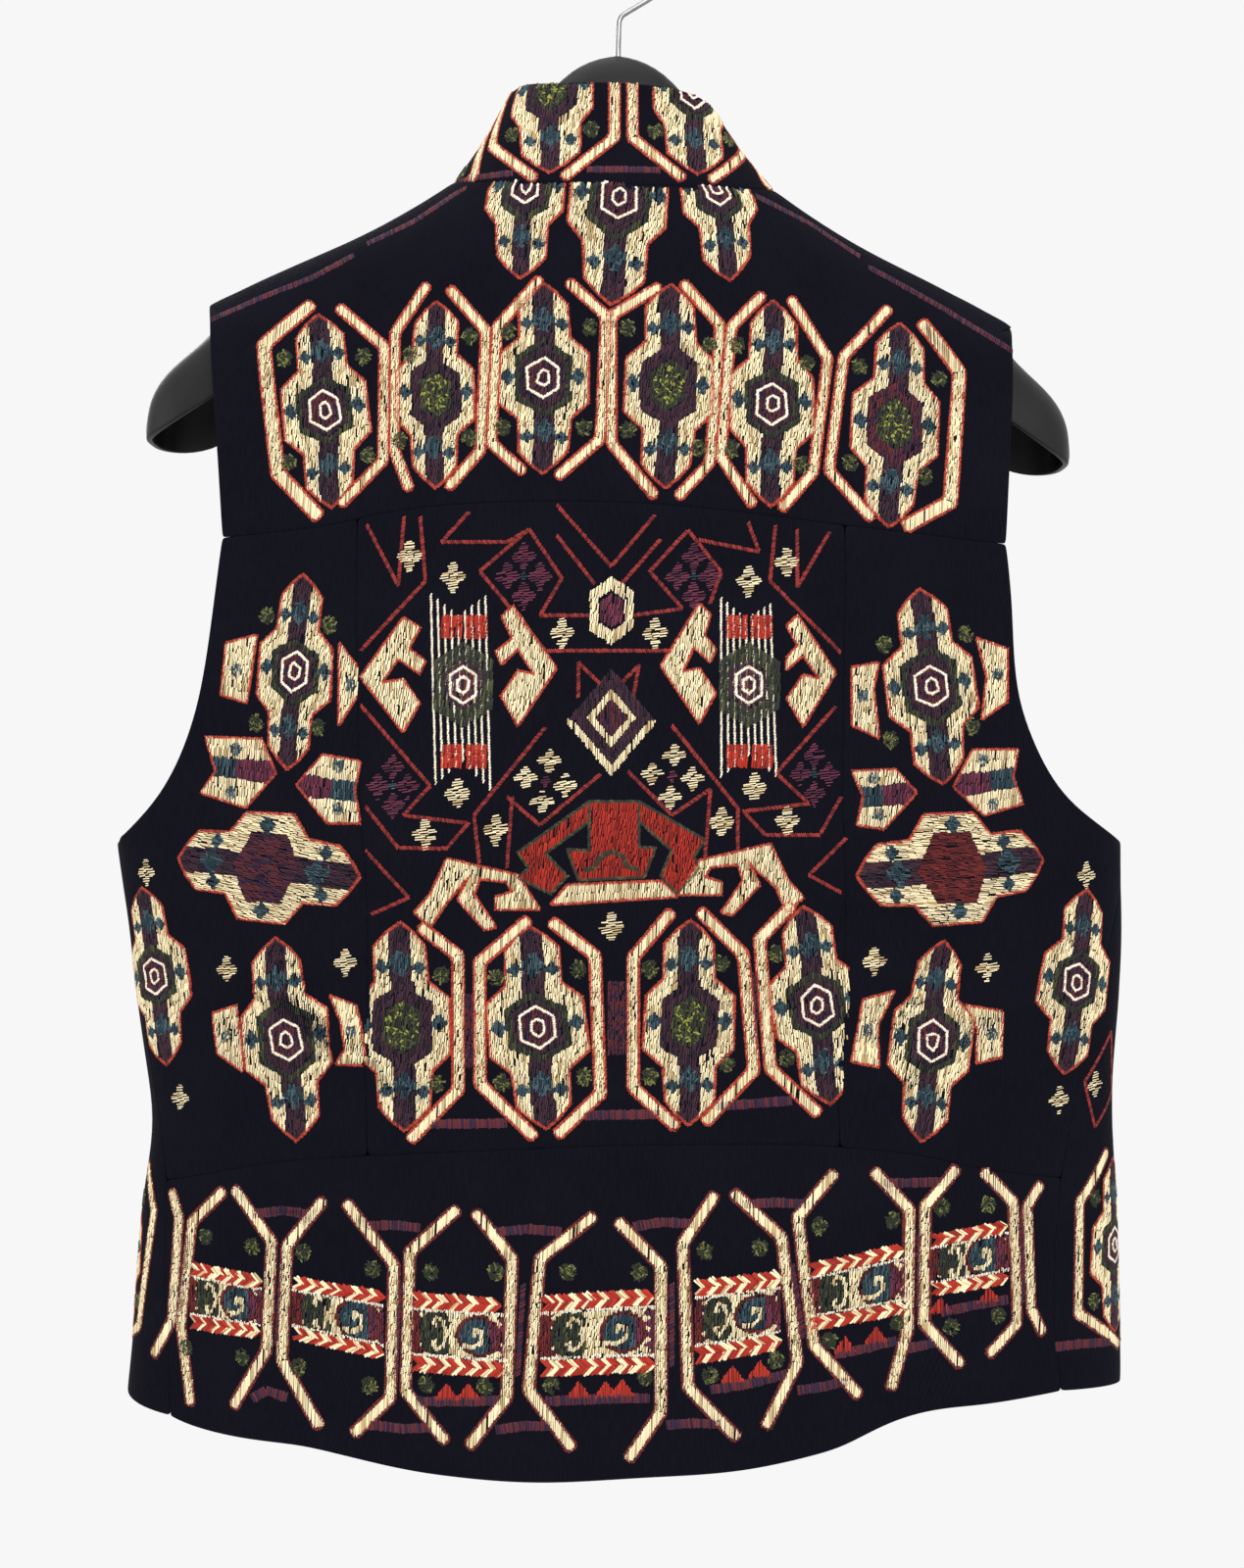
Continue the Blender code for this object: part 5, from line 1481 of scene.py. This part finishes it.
# Two without brackets: the middle, the tip, the width and the core.
FRONT_LOOSE = (
    ((152.0, -540.0), (152.0, -578.0), 37.0, "dark_eye"),
    ((196.0, -474.0), (231.0, -474.0), 42.0, "dark_net"),
)
FRONT_PANEL = (95.0, -405.0)
FRONT_STEMS = (
    ((12.0, -330.0), (34.0, -352.0), (56.0, -330.0)),
    ((66.0, -330.0), (74.0, -350.0), (116.0, -350.0), (124.0, -330.0)),
    ((134.0, -330.0), (152.0, -352.0), (166.0, -334.0)),
    ((12.0, -432.0), (36.0, -468.0), (12.0, -486.0)),
    ((62.0, -462.0), (78.0, -478.0), (112.0, -478.0), (128.0, -462.0)),
)
FRONT_FLOWERS = (
    (34.0, -334.0), (95.0, -338.0), (152.0, -336.0), (20.0, -366.0), (54.0, -360.0), (134.0, -362.0),
    (95.0, -466.0), (58.0, -486.0), (132.0, -484.0), (186.0, -520.0), (208.0, -552.0), (180.0, -596.0),
    (216.0, -612.0),
)
FRONT_PURPLE = ((37.0, -392.0), (34.0, -446.0))
FRONT_HOOKS = ((64.0, -1), (126.0, 1))
FRONT_HOOK_SIZE = (27.0, 52.0)
FRONT_BAND = (-648.0, -690.0)
FRONT_BAND_HALF = 18.0
FRONT_CELL = 56.0
FRONT_REACH = 232.0
# How far inside its cell each length of the front's band starts and stops.
FRONT_GAPS = (12.0, 4.0)
# Round the band, in mm from the middle of each length's inner end: its brackets, how far out each of a
# pair stands and which way its arms point, the knots, the teeth and the satin.
FRONT_BRACKET = ((14.0, 62.0), (0.0, 40.0), (0.0, -36.0), (14.0, -56.0))
BRACKET_PAIR = ((-4.0, -1), (-12.0, 1))
FRONT_KNOT_LEVELS = (30.0, -28.0)
TEETH_OUT = (20.0, 33.0)
TEETH_LEVEL = -25.0
FRONT_SATIN = (((9.0, -31.0), (42.0, -30.0)), ((6.0, 52.0), (38.0, 52.0)))


def framed(work, centre, wide, tall, core):
    """A medallion between its two brackets, with four green knots in the corners."""
    centre = np.asarray(centre)
    medallion(work, centre, centre + (0, -tall / 2), wide, core)
    side = wide / 2 + 4.2
    for hand in (-1, 1):
        path = ((3.6, tall / 2 + 3), (side, 0.27 * tall), (side, -0.27 * tall), (3.6, -tall / 2 - 3))
        bar(work, [centre + (hand * x, y) for x, y in path], 4.4)
        for level in (-0.27, 0.27):
            blob(work, centre + (hand * 0.41 * wide, level * tall), (2.9, 3.5))


def front_work(name, node, hand, seed):
    """One front's embroidery. hand: 1 on the wearer's left."""
    work = Needlework(name, front_chart, [node], seed)

    def at(across, height):
        return np.array([hand * across, height])

    for across, core in FRONT_MEDALLIONS:
        framed(work, at(across, FRONT_TOP), 40.0, 84.0, core)
    for across, core in FRONT_LOW_MEDALLIONS:
        framed(work, at(across, FRONT_LOW), 41.0, 84.0, core)
    for middle, tip, wide, core in FRONT_LOOSE:
        medallion(work, at(*middle), at(*tip), wide, core)
    for path in FRONT_STEMS:
        work.row([at(*place) for place in path], "stem_red", 1.75, lean=62.0, pitch=0.9)
    for place in FRONT_FLOWERS:
        flower(work, at(*place), (5.8, 6.8))
    for place in FRONT_PURPLE:
        flower(work, at(*place), (11.5, 13.0), yarn="plum", heart="teal")
    for across, way in FRONT_HOOKS:
        wide, tall = FRONT_HOOK_SIZE
        corner = at(across, FRONT_PANEL[1] + tall / 2)
        outline = [corner + (hand * way * (x - 0.5) * wide, -y * tall) for x, y in HOOK]
        work.shape(outline, "cream", "red", 1.4)
    places = [at(FRONT_PANEL[0] + x, FRONT_PANEL[1] + y) for x, y in PANEL_PLACES]
    striped_lines(work, *places)
    cells = int(FRONT_REACH / FRONT_CELL)
    for cell in range(cells):
        ends = []
        for across in (cell * FRONT_CELL + FRONT_GAPS[0], (cell + 1) * FRONT_CELL - FRONT_GAPS[1]):
            share = across / FRONT_REACH
            middle = FRONT_BAND[1] + share * (FRONT_BAND[0] - FRONT_BAND[1])
            ends += [at(across, middle - FRONT_BAND_HALF), at(across, middle + FRONT_BAND_HALF)]
        braided_band(work, *ends)
        middle = (ends[0] + ends[1]) / 2
        for out, way in BRACKET_PAIR[: 2 if cell else 1]:
            bar(work, [middle + (hand * (out - way * x), y) for x, y in FRONT_BRACKET], 5.0)
        for level in FRONT_KNOT_LEVELS:
            blob(work, middle + (hand * 6.5, level))
            blob(work, (ends[2] + ends[3]) / 2 - (hand * 6.0, -level))
        for out in TEETH_OUT:
            tooth(work, middle + (hand * out, TEETH_LEVEL))
        for path in FRONT_SATIN:
            work.row([middle + (hand * x, y) for x, y in path], "maroon", 4.4, lean=88.0)
    work.make()


front_chart = Chart(BODY_NODES, -1, *BODY_EXTENT)
front_work("embroidery_front_left", "front_left", 1, 16)
front_work("embroidery_front_right", "front_right", -1, 17)


# The hanger: one moulded shell of charcoal plastic, hollow below, with a fine grain
# and softly rounded edges. It goes in through the neck and carries the shoulders.
EDGE_ROUND = 0.0007
EDGE_ANGLE = math.radians(50)
PLASTIC_DARK = (0.0050, 0.0054, 0.0052, 1.0)
PLASTIC_WORN = (0.0170, 0.0180, 0.0165, 1.0)
plastic = Look("charcoal_plastic", Roughness=0.42, Specular_IOR_Level=0.14)
spot = plastic.node("ShaderNodeTexCoord", {}, {}, "Object")
grain = plastic.node("ShaderNodeTexNoise", {}, {"Vector": spot, "Scale": 2600.0, "Detail": 2.0})
wear = plastic.node("ShaderNodeTexNoise", {}, {"Vector": spot, "Scale": 38.0, "Detail": 4.0})
shade = {"Factor": wear, 6: PLASTIC_DARK, 7: PLASTIC_WORN}
colour = plastic.node("ShaderNodeMix", {"data_type": "RGBA"}, shade, 2)
plastic.feed(plastic.shader.inputs["Base Color"], colour)
plastic.feed(plastic.shader.inputs["Roughness"], wear * 0.25 + 0.30)
bump = plastic.node("ShaderNodeBump", {}, {"Strength": 0.25, "Distance": 0.0001, "Height": grain})
plastic.feed(plastic.shader.inputs["Normal"], bump)
hanger = node_copy("hanger_body", "hanger_shell")
alone(hanger)
edges = hanger.modifiers.new("edges", "BEVEL")
edges.width = EDGE_ROUND
edges.segments = 2
edges.limit_method = "ANGLE"
edges.angle_limit = EDGE_ANGLE
moulded = hanger.modifiers.new("moulded", "SUBSURF")
moulded.levels = 1
moulded.render_levels = 1
bpy.ops.object.modifier_apply(modifier="edges")
bpy.ops.object.modifier_apply(modifier="moulded")
bpy.ops.object.shade_smooth_by_angle(angle=EDGE_ANGLE)
hanger.data.materials.append(plastic.material)
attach(hanger, "root")
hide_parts("hanger_body")


# The hook: 3 mm chromed wire, bent to an open round loop.
# Its stem goes down through the hanger's crown, and its upset head is caught inside.
wire = Look("chromed_wire", Metallic=1.0, Roughness=0.16)
spot = wire.node("ShaderNodeTexCoord", {}, {}, "Object")
haze = wire.node("ShaderNodeTexNoise", {}, {"Vector": spot, "Scale": 240.0, "Detail": 3.0})
shade = {"Factor": haze, 6: (0.20, 0.20, 0.21, 1.0), 7: (0.38, 0.38, 0.39, 1.0)}
wire.feed(wire.shader.inputs["Base Color"], wire.node("ShaderNodeMix", {"data_type": "RGBA"}, shade, 2))
wire.feed(wire.shader.inputs["Roughness"], haze * 0.25 + 0.08)
hook = node_copy("hanger_hook", "hook_wire_bend")
alone(hook)
round_wire = hook.modifiers.new("round_wire", "SUBSURF")
round_wire.levels = 1
round_wire.render_levels = 1
bpy.ops.object.modifier_apply(modifier="round_wire")
hook.data.shade_smooth()
hook.data.materials.append(wire.material)
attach(hook, "root")
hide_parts("hanger_hook")
